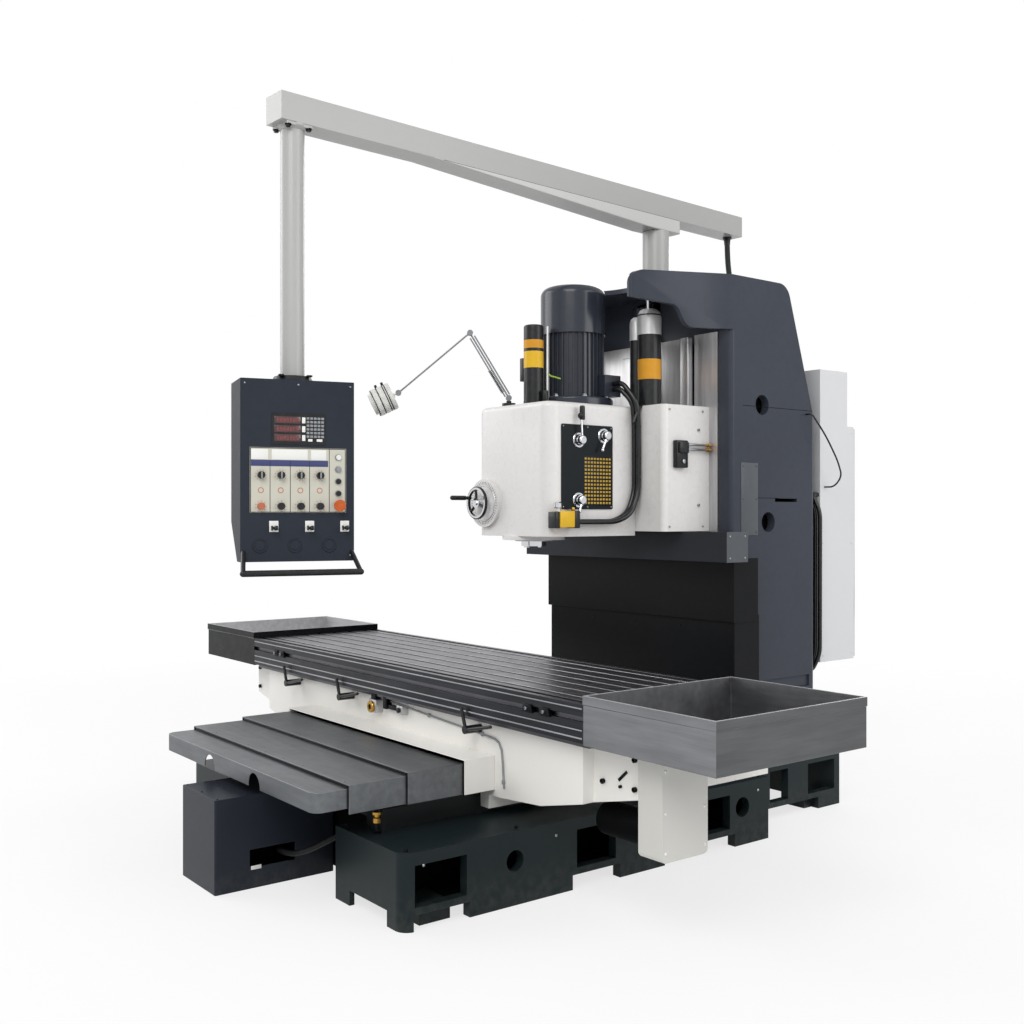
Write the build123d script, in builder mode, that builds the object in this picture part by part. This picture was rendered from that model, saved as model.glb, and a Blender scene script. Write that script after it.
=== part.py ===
from build123d import *
import os
from math import cos, radians, sin, tan

# Bed type milling machine, in millimetres.
# The origin is the centre of the foundation bolt pattern, on the floor.
# +X points to the right end of the table, +Y to the column, +Z up.

# Fits and gaps
slide_gap = 0.05        # oil film between sliding ways
turn_gap = 0.05         # radial clearance of a turning fit
part_gap = 0.3          # clearance between pieces that pass each other
sheet = 5               # folded sheet steel

# Bed
bed_length = 2860
bed_height = 293
bed_wall = 45
bed_corner = 55
rail_inner = 487        # from the centre plane to a rail's inner face
rail_width = 508
base_half = 800         # half width of the base under the column
base_length = 814
base_foot = 180         # length of a foot of the base
foot_arch = 60          # height of the arches between the feet
side_arches = ((48, 301), (820, 1083), (1352, 1809))        # from the bed's front
front_arch = 280        # width of the arch at a rail's front end
window_bottom = 88
window_top = 244
rail_windows = ((52, 287), (842, 1059), (1627, 1774))       # from the bed's front
base_windows = ((247, 388), (549, 769))                     # from the rear end of the rails
rail_hole_z = 176
rail_holes = ((520, 84), (1861, 92))                        # from the bed's front, and the diameter
web_setback = 480       # from the bed's front to the web between the rails
way_inner = 560         # from the centre plane to a way's inner face
way_width = 120
way_height = 87
way_setback = 100       # from the bed's front to the ways
way_end_gap = 20        # from the ways' rear end to the column guard
anchor_x = 1400         # foundation bolt pattern
anchor_inset = 170      # from the bed's ends to the bolts
anchor_hole = 34
anchor_pad = 70         # thickness of the foot that takes a bolt
anchor_foot = 140       # length of that foot
anchor_side = 90        # how far a rear foot reaches inwards from its bolt

anchor_y = bed_length - 2 * anchor_inset
bed_front = -bed_length / 2
bed_rear = bed_length / 2
rail_outer = rail_inner + rail_width
rail_length = bed_length - base_length
rail_rear = bed_front + rail_length
way_top = bed_height + way_height
web_front = bed_front + web_setback

# Coolant tank and its hose
tank_width = 346
tank_length = 541
tank_height = 386
tank_wall = 4
tank_corner = 8
tank_out = 376          # how far the tank stands out in front of the bed
tank_slot_setback = 152
tank_slot_bottom = 86
tank_slot_length = 203
tank_slot_height = 74
hose_diameter = 24

tank_front = bed_front - tank_out
tank_rear = tank_front + tank_length

# Front way cover, an upside-down trough in nested sections
cover_half = 745        # half width of the fixed front section
cover_height = 123      # from the ways to the top of the fixed section
cover_step = 12         # each section is this much wider per side
cover_rise = 15         # and this much higher
cover_skirt_gap = 26    # from the ways to the skirts
cover_lip = 77
cover_overhang = 232    # how far the cover stands out in front of the bed
cover_skirt_setback = 157
cover_corner = 45
cover_fixed_gap = 12    # from the fixed section to the saddle
section_gap = 10        # from the middle sections to the saddle
section_1_length = 660
section_2_length = 405
section_3_length = 153
cover_post = 80         # width of a post that carries the fixed section
cover_post_length = 100
cover_post_setback = 110
cover_notch_x = 225
cover_notch_width = 110
cover_notch_height = 60

cover_front = bed_front - cover_overhang
cover_top = way_top + cover_height
cover_bottom = way_top + cover_skirt_gap

# Saddle
saddle_setback = 580    # from the bed's front
saddle_length = 750
saddle_height = 300     # above the bed's ways
saddle_half = 1586      # to the end of a wing
saddle_body_half = 820
saddle_knee = 1080      # where the wing's underside changes its slope
saddle_knee_rise = 20
saddle_wall = 60
saddle_hollow = 120     # height of the hollow between the ways
saddle_web = 40         # from the hollow to a way
wing_end_height = 165
wing_wall = 40
wing_face = 1330        # where the front of a wing steps back
wing_step = 55
wing_hollow_start = 860
guide_width = 200
guide_height = 12
keep_width = 60
keep_height = 60

saddle_front = bed_front + saddle_setback
saddle_rear = saddle_front + saddle_length
saddle_middle = (saddle_front + saddle_rear) / 2
saddle_bottom = way_top + slide_gap
saddle_top = way_top + saddle_height
wing_end_bottom = saddle_top - wing_end_height

# Feed screws
screw_diameter = 50
screw_groove = 110
journal_diameter = 40
journal_gap = 1         # from a journal's end to the face it stops at
nut_diameter = 80
nut_length = 120
table_nut_length = 140
nut_side_gap = 8
end_wall = 86
screw_x_drop = 50       # from the saddle's top to the table screw
screw_y_rise = 32       # from the bed's top to the cross screw
screw_z_setback = 34    # from the column's front to the vertical screw
bearing_length = 80
bearing_width = 140
bearing_rise = 77       # above the bed
pulley_diameter = 72
pulley_width = 40
pulley_gap = 20

screw_x_z = saddle_top - screw_x_drop
screw_y_z = bed_height + screw_y_rise
bearing_top = bed_height + bearing_rise

# Feed drive housing at the saddle's right end, and the feed motors
leg_width = 121
leg_depth = 234
leg_length = 360
leg_drop = 4            # from the saddle's top
leg_setback = 38
leg_corner = 22
leg_floor = 20
feed_motor_rise = 64    # from the housing's underside to the motor's axis
feed_motor_diameter = 130
feed_motor_length = 290
feed_motor_flange = 14
feed_motor_round = 12
z_motor_length = 200
motor_room = 180        # width of the opening for the vertical feed motor

leg_front = saddle_front + leg_setback
leg_top = saddle_top - leg_drop
leg_bottom = leg_top - leg_length
screw_x_y = leg_front + leg_depth / 2

# Table
table_length = 2798
table_width = 802
table_thickness = 146
table_overhang = 59     # in front of the saddle
table_way_height = 20
table_way_inset = 30
tee_slots = 7
tee_pitch = 100
tee_neck = 22
tee_neck_depth = 20
tee_head = 38
tee_head_depth = 18
dog_groove = 20
dog_groove_depth = 16
dog_groove_drop = 56    # from the table's top to the middle of the dog groove
coolant_groove = 30
coolant_groove_depth = 12
coolant_groove_inset = 40

table_half = table_length / 2
table_front = saddle_front - table_overhang
table_rear = table_front + table_width
table_middle = (table_front + table_rear) / 2
table_bottom = saddle_top + table_way_height
table_top = table_bottom + table_thickness
dog_groove_z = table_top - dog_groove_drop

# End trays
tray_length = 648
tray_clearance = 2      # from the saddle's guide to a tray's floor
tray_rim_rise = 33      # above the table's top
tray_wall = 6
tray_band = 34          # folded band round the rim
tray_band_out = 4

tray_bottom = saddle_top + guide_height + tray_clearance
tray_rim = table_top + tray_rim_rise

# Column
column_half = 659
column_depth = 616
column_inset = 14       # from the bed's rear end
column_top = 2759
column_wall = 45
column_bend = 1998      # height where the back starts to lean in
column_lean = 240
column_way_inner = 400
column_way_width = 160
column_way_depth = 60
column_way_bottom = 900
column_corner = 40
column_crown = 90       # rounding where the back meets the top
column_hole = 104
column_holes = ((170, 2109), (218, 1501))       # from the column's front, and the height
vent_front = 274        # from the column's front
vent_length = 180
vent_bottom = 1607
vent_height = 18
recess_front = 194      # from the column's front
recess_length = 362
recess_bottom = 618
recess_height = 61
recess_depth = 12
hood_reach = 555
hood_left = 250         # from the centre line to its front corners
hood_right = 436
hood_lip = 2625         # underside of the hood at its front edge
hood_knee = 2595        # underside where it starts to curve down
hood_knee_reach = 360   # from the column's front to that knee
hood_foot_reach = 245   # from the column's front to the foot of the curve
hood_root = 2480        # underside of the hood at the column
hood_wall = 25
hood_corner = 20        # upright front corners
hood_edge = 65          # top front edge
cheek_width = 84        # cheeks beside the ways
cheek_depth = 65
cheek_corner = 25

column_rear = bed_rear - column_inset
column_front = column_rear - column_depth
column_top_rear = column_rear - column_lean
column_way_top = hood_root
hood_front = column_front - hood_reach
cheek_inner = column_half - cheek_width
cheek_front = column_front - cheek_depth
way_face = column_front - column_way_depth
screw_z_y = column_front - screw_z_setback

# Guards in front of the column ways
guard_side = 58         # how far the guard stands out beside the column
guard_out = 109         # how far the guard stands out in front of the column
guard_overlap = 80
guard_top = 1030
guard_sheet = 6
guard_step = 10
guard_lap = 30          # overlap of the two guards in height
guard_back_step = 20
middle_guard_height = 320
apron_side = 129
apron_out = 244
apron_depth = 156
apron_height = 151

guard_half = column_half + guard_side
guard_front = column_front - guard_out
guard_back = column_front + guard_overlap
middle_guard_bottom = guard_top - guard_lap
apron_half = column_half + apron_side
apron_front = column_front - apron_out

# Head carriage and gear head
carriage_half = 502
carriage_depth = 327
carriage_bottom = 1455
carriage_height = 641
carriage_corner = 30
carriage_wall = 60
carriage_rib = 80       # half width of the rib behind the nut
carriage_pocket = 140   # width of a hollow beside that rib
carriage_nut_rise = 300
keep_end_gap = 10       # from a keep to the column
nut_end_gap = 3         # from the nut to the column
head_half = 294
head_length = 582
head_below = 23         # how far the head reaches below the carriage
head_wall = 32
head_corner = 70
head_edge = 28

carriage_back = way_face - slide_gap
carriage_front = way_face - carriage_depth
carriage_top = carriage_bottom + carriage_height
head_front = carriage_front - head_length
head_bottom = carriage_bottom - head_below
head_top = carriage_top

# Spindle and quill
spindle_setback = 149   # from the head's front
quill_diameter = 190
quill_length = 450
quill_drop = 27         # how far the quill stands out of the head at rest
quill_sleeve_wall = 35
quill_sleeve_height = 468
quill_boss_wall = 65
quill_boss_height = 20
spindle_diameter = 90
spindle_length = 640
nose_diameter = 128.57
nose_thickness = 25
taper_large = 69.85     # steep taper, seven in twenty four
taper_length = 100
drawbar_bore = 27
nose_bolts = 4
nose_bolt_circle = 101.6
nose_bolt_hole = 14
nose_bolt_depth = 22
drive_key_width = 25.4
drive_key_inner = 38
drive_key_outer = 54
drive_key_height = 8

spindle_y = head_front + spindle_setback
quill_bottom = head_bottom - quill_drop
quill_sleeve = quill_diameter + 2 * quill_sleeve_wall
quill_boss = quill_diameter + 2 * quill_boss_wall
nose_bottom = quill_bottom - nose_thickness

# Spindle motor
motor_setback = 265     # from the spindle to the motor's axis
motor_diameter = 300
motor_cowl_diameter = 340
motor_cowl_height = 250
motor_cowl_round = 45
motor_flange_diameter = 420
motor_flange_height = 50
motor_flange_round = 14
motor_body_height = 330
motor_fins = 36
motor_fin_depth = 12
motor_fin_width = 6
terminal_box_inner = 140
terminal_box_outer = 205
terminal_box_setback = 40   # from the motor's axis
terminal_box_length = 110
terminal_box_rise = 4

motor_y = spindle_y + motor_setback
motor_body_bottom = head_top + motor_flange_height
motor_cowl_bottom = motor_body_bottom + motor_body_height

# Power drawbar, balance cylinder
drawbar_diameter = 102
drawbar_height = 412
drawbar_foot = 104
drawbar_foot_height = 24
drawbar_round = 12
balance_x = 309
balance_setback = 87    # from the carriage's front
balance_diameter = 122
balance_bore = 90
balance_rod_diameter = 40
balance_seat = 65       # from the carriage's underside
balance_length = 1079
balance_round = 35
balance_gland_length = 160
balance_floor = 20
piston_rise = 180
piston_length = 40

balance_y = carriage_front + balance_setback
balance_bottom = carriage_bottom + balance_seat
balance_top = balance_bottom + balance_length

# Gear plate with its shift levers
plate_setback = 84      # from the head's front
plate_length = 337
plate_rise = 135        # from the head's underside
plate_height = 418
plate_thickness = 6
plate_corner = 10
lever_hub = 46
lever_hub_length = 38
lever_hub_round = 8
lever_stem = 12
# Pivot and tip of each lever from the plate's lower front corner, and the diameter of its knob
shift_levers = (((110, 341), (103, 459), 34), ((276, 368), (243, 295), 20), ((110, 45), (93, -11), 18))

plate_front = head_front + plate_setback
plate_bottom = head_bottom + plate_rise

# Handwheel of the quill feed
wheel_x = -200
wheel_rise = 168        # from the head's underside
wheel_diameter = 170
wheel_rim = 16
wheel_round = 6         # outer edges of the ring
wheel_boss = 250
wheel_boss_height = 20
wheel_shaft = 24
wheel_shaft_end = 14
wheel_reach = 44        # from the boss to the ring
wheel_hub = 52
wheel_hub_end = 8
wheel_spokes = 3
wheel_spoke = 14
first_spoke = 100       # degrees
crank_turn = 160        # degrees
crank_pin = 18
crank_pin_length = 30
crank_stub = 12         # how far the crank's pin stands out behind the ring
crank_grip = 24
crank_grip_start = 24
crank_grip_end = 104

wheel_z = head_bottom + wheel_rise
wheel_y = head_front - wheel_boss_height - wheel_reach
wheel_ring = (wheel_diameter - wheel_rim) / 2

# Clamp levers on the front of the saddle
clamp_places = (-963, -389, 680)
clamp_below = 33        # from the saddle's top to a pivot
clamp_hub = 34
clamp_length = 84
clamp_arm = 82          # height of the short arm
clamp_lean = 30         # how far the short arm leans
clamp_grip = 172
clamp_grip_rise = 37
clamp_bar = 15

clamp_z = saddle_top - clamp_below

# Valve block and conduits on the head
valve_width = 66
valve_length = 150
valve_height = 86
valve_round = 5
valve_setback = 77      # from the head's front to its middle
valve_rise = 85         # from the head's underside to its middle
conduit_diameter = 26
conduit_pitch = 30
conduit_gap = 18        # from the head's side to the first conduit's axis
conduit_drop = 12       # from the valve's middle to the conduits' axes

valve_y = head_front + valve_setback
valve_z = head_bottom + valve_rise
valve_back = valve_y + valve_length / 2

# Work lamp
lamp_x = -103
lamp_setback = 68       # from the head's front
lamp_base_diameter = 70
lamp_base_height = 44
lamp_turn = -121.7      # plan direction of the lamp, in degrees from +X
lamp_lower = 387
lamp_lower_lean = 58.8  # degrees above the horizontal
lamp_fore = 480
lamp_fore_drop = 40.5   # degrees below the horizontal
lamp_arm_diameter = 9
lamp_joint = 30
lamp_disc = 10          # thickness of a friction disc
lamp_neck_rod = 8
lamp_plinth = 16
lamp_stem = 26
lamp_head_diameter = 138
lamp_head_depth = 118
lamp_head_neck = 30
lamp_head_wall = 4
lamp_head_floor = 14
lamp_head_mouth = 112   # diameter of the lip round its mouth
lamp_head_lip = 14
lamp_head_lift = 0.295  # how much less the lamp head points down than its arm

lamp_base = (lamp_x, head_front + lamp_setback)

# Pendant arm
arm_pivot_x = -43
arm_pivot_setback = 98  # from the column's front
arm_turn = 3.6          # plan angle of the beam from the machine's centre plane, in degrees
arm_height = 118
arm_width = 130
arm_wall = 5
arm_gusset = 75
arm_front_length = 2420
arm_rear_length = 700
gusset_half = 130       # half length of the gusset's thick part
gusset_reach = 1650
post_height = 446       # from the column's top to the beam
post_diameter = 150
post_spigot = 60
post_spigot_length = 90
post_foot = 210
post_foot_height = 24
pole_reach = 2330
pole_diameter = 103
pole_wall = 5
pole_length = 1075
pole_flange = 124
pole_flange_height = 14

arm_pivot_y = column_front + arm_pivot_setback
arm_bottom = column_top + post_height
arm_top = arm_bottom + arm_height
arm_gusset_bottom = arm_bottom - arm_gusset
pole_bottom = arm_bottom - pole_length

# Pendant
pendant_turn = 75       # plan angle of its width, in degrees from +X
pendant_width = 480
pendant_depth = 250
pendant_height = 759
pendant_back_height = 584
pendant_slope = 165     # how far the lower back leans forward
pendant_corner = 10
pendant_wall = 4
pendant_collar = 26     # how far the collar stands out round the pole
pendant_collar_height = 26
pendant_spigot_length = 60
pendant_spigot_bore = 60
panel_width = 404
panel_height = 271
panel_rise = 204        # from the pendant's underside
panel_thickness = 3
readout_width = 227
readout_height = 132
readout_x = 1
readout_gap = 12        # from the panel to the readout
knob_diameter = 30
knob_height = 22
knob_count = 4
knob_pitch = 82
knob_first = -157
knob_rise = 156         # from the panel's lower edge to the turning selectors
trimmer_rise = 27       # from the panel's lower edge to the fixed trimmers
pointer_width = 6
pointer_length = 26
pointer_height = 5
button_diameter = 22
button_height = 9
button_count = 4
button_rise = 81        # from the panel's lower edge to the lowest button
button_pitch = 51
stop_x = 169
stop_rise = 30          # from the panel's lower edge
stop_diameter = 50
stop_stem = 22
stop_stem_reach = 20    # how far the stem reaches into the box
stop_cap_start = 18
stop_cap_end = 32
stop_round = 5
toggle_diameter = 14
toggle_tip = 18
toggle_pivot = 9        # from the face to the pivot
toggle_pin = 8
toggle_lug = 20         # diameter of a lug that holds the pin
toggle_lug_width = 5
toggle_lug_gap = 1      # from the bar to a lug
toggle_length = 34
toggle_pitch = 150
toggle_places = (-1, 0, 1)
toggle_shift = 48
toggle_drop = 64        # from the panel's lower edge
handle_bar = 26
handle_drop = 43        # from the pendant's underside
handle_out = 90
handle_arm = 20
handle_spread = 4       # from the pendant's sides to the ends of the bar
handle_root = 14        # from the pendant's face and sides to the arms' roots
handle_rise = 48        # from the pendant's underside to the arms' roots

pendant_top = pole_bottom - pendant_collar_height
pendant_back_bottom = pendant_top - pendant_back_height
pendant_bottom = pendant_top - pendant_height
panel_bottom = pendant_bottom + panel_rise
panel_top = panel_bottom + panel_height
readout_bottom = panel_top + readout_gap
knob_row = panel_bottom + knob_rise
trimmer_row = panel_bottom + trimmer_rise
stop_z = panel_bottom + stop_rise
toggle_z = panel_bottom - toggle_drop
handle_z = pendant_bottom - handle_drop

# Electrical cabinet behind the column
cabinet_half = 618
cabinet_gap = 90        # from the column's back
cabinet_lower_depth = 303
cabinet_upper_depth = 244
cabinet_bottom = 726
cabinet_step = 2036
cabinet_top = 2341
cabinet_wall = 4
cabinet_door_thickness = 24
cabinet_rail = 80
cabinet_rail_x = 360
cabinet_rail_bottom = 80
cabinet_rail_top = 100
door_inset = 10
door_sheet = 3
hinge_out = 6           # from the cabinet's side to the hinge axis
hinge_barrel = 16
hinge_length = 60
hinge_inset = 150       # from the door's ends
hinge_strap = 8
hinge_strap_reach = 19
cabinet_hose = 24
cabinet_hose_places = (644, 614)
cabinet_lead = 9
arm_cable_diameter = 32

cabinet_front = column_rear + cabinet_gap
cabinet_lower_back = cabinet_front + cabinet_lower_depth
cabinet_upper_back = cabinet_front + cabinet_upper_depth
door_front = cabinet_lower_back + part_gap
door_back = door_front + cabinet_door_thickness
door_half = cabinet_half - door_inset
door_bottom = cabinet_bottom + door_inset
door_top = cabinet_step - door_inset
hinge_x = -cabinet_half - hinge_out
hinge_y = (door_front + door_back) / 2
hinge_bottoms = (door_bottom + hinge_inset, door_top - hinge_inset)

os.makedirs("parts", exist_ok=True)


def middle(limits):
    """Give the middle of a pair of limits."""
    return (limits[0] + limits[1]) / 2


def block(x_limits, y_limits, z_limits, mode=Mode.ADD):
    """Add or cut a box between three pairs of limits."""
    with Locations((middle(x_limits), middle(y_limits), middle(z_limits))):
        Box(x_limits[1] - x_limits[0], y_limits[1] - y_limits[0], z_limits[1] - z_limits[0], mode=mode)


def rod(start, end, diameter, mode=Mode.ADD):
    """Add or cut a straight round bar between two points."""
    axis = Vector(end) - Vector(start)
    with Locations(Plane(origin=start, z_dir=axis)):
        Cylinder(diameter / 2, axis.length, align=(Align.CENTER, Align.CENTER, Align.MIN), mode=mode)


def save(piece, name):
    """Label a finished piece and write its file."""
    piece.label = name
    export_step(piece, "parts/" + name + ".step")


def route_radii(points):
    """Give the largest tangent arc for each corner of a route."""
    radii = []
    for before, corner, after in zip(points, points[1:], points[2:]):
        first = Vector(corner) - Vector(before)
        second = Vector(after) - Vector(corner)
        turn = radians(first.get_angle(second))
        radii.append(0.45 * min(first.length, second.length) / tan(turn / 2))
    return radii


def tube(points, diameter):
    """Add a round tube along straight runs joined by tangent arcs."""
    with BuildLine() as route:
        FilletPolyline(*points, radius=route_radii(points))
    with BuildSketch(Plane(origin=points[0], z_dir=route.line % 0)) as section:
        Circle(diameter / 2)
    sweep(sections=section.sketch, path=route.line)


# Bed: two hollow rails, a base under the column, a web between them and box ways on top
with BuildPart() as bed:
    with BuildSketch():
        with Locations((0, (bed_front + rail_rear) / 2)):
            Rectangle(2 * rail_outer, rail_length)
            Rectangle(2 * rail_inner, rail_length, mode=Mode.SUBTRACT)
        with Locations((0, (rail_rear + bed_rear) / 2)):
            Rectangle(2 * base_half, bed_rear - rail_rear)
    extrude(amount=bed_height)
    front_corners = bed.edges().filter_by(Axis.Z).group_by(Axis.Y)[0]
    fillet(front_corners.sort_by(Axis.X)[0:1] + front_corners.sort_by(Axis.X)[-1:], radius=bed_corner)
    # Hollow undersides
    for side in (-1, 1):
        rail_mid = side * (rail_inner + rail_outer) / 2
        with Locations((rail_mid, (bed_front + rail_rear) / 2, 0)):
            with GridLocations(1, rail_length / 3, 1, 3):
                Box(rail_width - 2 * bed_wall, rail_length / 3 - bed_wall, 2 * (bed_height - bed_wall),
                    mode=Mode.SUBTRACT)
    with Locations((0, (rail_rear + bed_rear) / 2, 0)):
        Box(2 * (base_half - bed_wall), bed_rear - rail_rear - 2 * bed_wall, 2 * (bed_height - bed_wall),
            mode=Mode.SUBTRACT)
    # Web between the rails
    block((-rail_inner, rail_inner), (web_front, rail_rear), (foot_arch, bed_height - bed_wall))
    # Arches between the feet, along the sides and across the front
    for arch_front, arch_back in side_arches:
        block((-rail_outer, rail_outer), (bed_front + arch_front, bed_front + arch_back), (0, foot_arch),
              mode=Mode.SUBTRACT)
    block((-base_half, base_half), (rail_rear + base_foot, bed_rear - base_foot), (0, foot_arch),
          mode=Mode.SUBTRACT)
    for side in (-1, 1):
        rail_mid = side * (rail_inner + rail_outer) / 2
        block((rail_mid - front_arch / 2, rail_mid + front_arch / 2), (bed_front, bed_front + bed_wall),
              (0, foot_arch),
              mode=Mode.SUBTRACT)
    # Windows in the outer walls
    for window_front, window_back in rail_windows:
        block((-rail_outer, rail_outer), (bed_front + window_front, bed_front + window_back),
              (window_bottom, window_top), mode=Mode.SUBTRACT)
    for window_front, window_back in base_windows:
        block((-base_half, base_half), (rail_rear + window_front, rail_rear + window_back),
              (window_bottom, window_top), mode=Mode.SUBTRACT)
    for hole_setback, hole_diameter in rail_holes:
        rod((-rail_outer, bed_front + hole_setback, rail_hole_z),
            (rail_outer, bed_front + hole_setback, rail_hole_z),
            hole_diameter, mode=Mode.SUBTRACT)
    # The windows leave the web and the inner walls whole
    block((-rail_inner, rail_inner), (web_front, rail_rear), (foot_arch, bed_height - bed_wall))
    for side in (-1, 1):
        inner_wall = sorted((side * rail_inner, side * (rail_inner + bed_wall)))
        block(inner_wall, (bed_front, rail_rear), (foot_arch, bed_height))
    # Box ways
    for side in (-1, 1):
        way_x = side * (way_inner + way_width / 2)
        block((way_x - way_width / 2, way_x + way_width / 2),
              (bed_front + way_setback, guard_front - way_end_gap),
              (bed_height, way_top))
        # Posts that carry the fixed front cover
        post_front = bed_front + cover_post_setback
        block((way_x - cover_post / 2, way_x + cover_post / 2), (post_front, post_front + cover_post_length),
              (way_top, cover_top - sheet))
    # Bearing blocks of the cross feed screw
    for bearing_front in (web_front, rail_rear - bearing_length):
        block((-bearing_width / 2, bearing_width / 2), (bearing_front, bearing_front + bearing_length),
              (bed_height - bed_wall, bearing_top))
    rod((0, web_front, screw_y_z), (0, rail_rear, screw_y_z), journal_diameter + 2 * turn_gap,
        mode=Mode.SUBTRACT)
    # Feet that take the foundation bolts
    for side in (-1, 1):
        block(sorted((side * (rail_inner + bed_wall), side * (rail_outer - bed_wall))),
              (-(anchor_y + anchor_foot) / 2, -(anchor_y - anchor_foot) / 2), (0, anchor_pad))
        block(sorted((side * (anchor_x / 2 - anchor_side), side * (base_half - bed_wall))),
              ((anchor_y - anchor_foot) / 2, (anchor_y + anchor_foot) / 2), (0, anchor_pad))
    with GridLocations(anchor_x, anchor_y, 2, 2):
        Cylinder(anchor_hole / 2, 4 * anchor_pad, mode=Mode.SUBTRACT)
save(bed.part, "bed")

# Coolant tank with a hand slot in its right side
slot_front = tank_front + tank_slot_setback
with BuildPart() as coolant_tank:
    block((-tank_width / 2, tank_width / 2), (tank_front, tank_rear), (0, tank_height))
    fillet(coolant_tank.edges().filter_by(Axis.Z), radius=tank_corner)
    block((tank_wall - tank_width / 2, tank_width / 2 - tank_wall),
          (tank_front + tank_wall, tank_rear - tank_wall),
          (tank_wall, tank_height - tank_wall), mode=Mode.SUBTRACT)
    block((0, tank_width / 2), (slot_front, slot_front + tank_slot_length),
          (tank_slot_bottom, tank_slot_bottom + tank_slot_height), mode=Mode.SUBTRACT)
save(coolant_tank.part, "coolant_tank")

# Drain hose from the tank to the right rail
hose_points = [(120, -1500, 122), (215, -1498, 122), (295, -1450, 150), (355, -1375, 200), (400, -1300, 240),
               (440, -1262, 250), (rail_inner, -1262, 250)]
with BuildPart() as coolant_hose:
    tube(hose_points, hose_diameter)
save(coolant_hose.part, "coolant_hose")


def cover_section(index, front, back):
    """Make one moving section of the front way cover, open below and at both ends."""
    half = cover_half + index * cover_step
    top = cover_top + index * cover_rise
    with BuildPart() as section:
        block((-half, half), (front, back), (cover_bottom, top))
        block((sheet - half, half - sheet), (front, back), (cover_bottom, top - sheet), mode=Mode.SUBTRACT)
    return section.part


# Fixed front section with rounded corners and two arched notches in its lip
cover_fixed_back = saddle_front - cover_fixed_gap
skirt_front = cover_front + cover_skirt_setback
notch_middle = cover_top - cover_lip + cover_notch_height - cover_notch_width / 2
with BuildPart() as front_cover_fixed:
    block((-cover_half, cover_half), (cover_front, cover_fixed_back), (cover_top - cover_lip, cover_top))
    front_edges = front_cover_fixed.edges().filter_by(Axis.Z).group_by(Axis.Y)[0]
    fillet(front_edges, radius=cover_corner)
    block((-cover_half, cover_half), (skirt_front, cover_fixed_back), (cover_bottom, cover_top))
    cover_inside = cover_half - sheet
    with BuildSketch(Plane.XY.offset(cover_top - sheet)):
        with Locations((0, (cover_front + sheet + cover_fixed_back) / 2)):
            Rectangle(2 * cover_inside, cover_fixed_back - cover_front - sheet)
        fillet(vertices().group_by(Axis.Y)[0], radius=cover_corner - sheet)
    extrude(amount=cover_bottom - cover_top, mode=Mode.SUBTRACT)
    for side in (-1, 1):
        notch_x = side * cover_notch_x
        block((notch_x - cover_notch_width / 2, notch_x + cover_notch_width / 2),
              (cover_front, cover_front + sheet),
              (cover_top - cover_lip, notch_middle), mode=Mode.SUBTRACT)
        rod((notch_x, cover_front, notch_middle), (notch_x, cover_front + sheet, notch_middle),
            cover_notch_width,
            mode=Mode.SUBTRACT)
save(front_cover_fixed.part, "front_cover_fixed")
section_back = saddle_front - section_gap
save(cover_section(1, section_back - section_1_length, section_back), "front_cover_middle_1")
save(cover_section(2, section_back - section_2_length, section_back), "front_cover_middle_2")
save(cover_section(3, saddle_front - section_3_length, saddle_front), "front_cover_rear")

# Saddle: a cast body that bridges the ways, with wings that carry the table
hollow_top = saddle_bottom + saddle_hollow
with BuildPart() as saddle:
    with BuildSketch(Plane.XZ.offset(-saddle_front)):
        with BuildLine():
            Polyline((0, saddle_top), (saddle_half, saddle_top), (saddle_half, wing_end_bottom),
                     (saddle_knee, saddle_bottom + saddle_knee_rise), (saddle_body_half, saddle_bottom),
                     (0, saddle_bottom), close=True)
        make_face()
        mirror(about=Plane.YZ)
    extrude(amount=-saddle_length)
    # Stepped front at the ends of the wings
    for side in (-1, 1):
        block(sorted((side * wing_face, side * saddle_half)), (saddle_front, saddle_front + wing_step),
              (saddle_bottom, saddle_top), mode=Mode.SUBTRACT)
    # Guide for the table, with a groove for the feed screw
    block((-saddle_half, saddle_half), (screw_x_y - guide_width / 2, screw_x_y + guide_width / 2),
          (saddle_top, saddle_top + guide_height))
    block((end_wall - saddle_half, saddle_half - end_wall),
          (screw_x_y - screw_groove / 2, screw_x_y + screw_groove / 2),
          (screw_x_z - screw_groove / 2, saddle_top + guide_height), mode=Mode.SUBTRACT)
    rod((-saddle_half, screw_x_y, screw_x_z), (saddle_half, screw_x_y, screw_x_z),
        journal_diameter + 2 * turn_gap, mode=Mode.SUBTRACT)
    # Hollow between the ways
    hollow_half = way_inner - saddle_web
    block((-hollow_half, hollow_half), (saddle_front + saddle_wall, saddle_rear - saddle_wall),
          (saddle_bottom, hollow_top), mode=Mode.SUBTRACT)
    # Hollows in the wings, open below, behind the groove of the feed screw
    for side in (-1, 1):
        block(sorted((side * wing_hollow_start, side * (saddle_half - end_wall))),
              (screw_x_y + screw_groove / 2 + wing_wall, saddle_rear - saddle_wall),
              (saddle_bottom, saddle_top - wing_wall), mode=Mode.SUBTRACT)
    # Keeps along the outer sides of the ways
    for side in (-1, 1):
        keep_inner = way_inner + way_width + slide_gap
        block(sorted((side * keep_inner, side * (keep_inner + keep_width))), (saddle_front, saddle_rear),
              (way_top - keep_height, saddle_bottom))
    # Nut of the cross feed screw, hung from the roof of the hollow
    nut_front = saddle_middle - nut_length / 2
    nut_back = saddle_middle + nut_length / 2
    block((-nut_diameter / 2, nut_diameter / 2), (nut_front, nut_back),
          (screw_y_z - nut_diameter / 2, hollow_top))
    rod((0, nut_front, screw_y_z), (0, nut_back, screw_y_z), screw_diameter + 2 * part_gap,
        mode=Mode.SUBTRACT)
save(saddle.part, "saddle")

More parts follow.
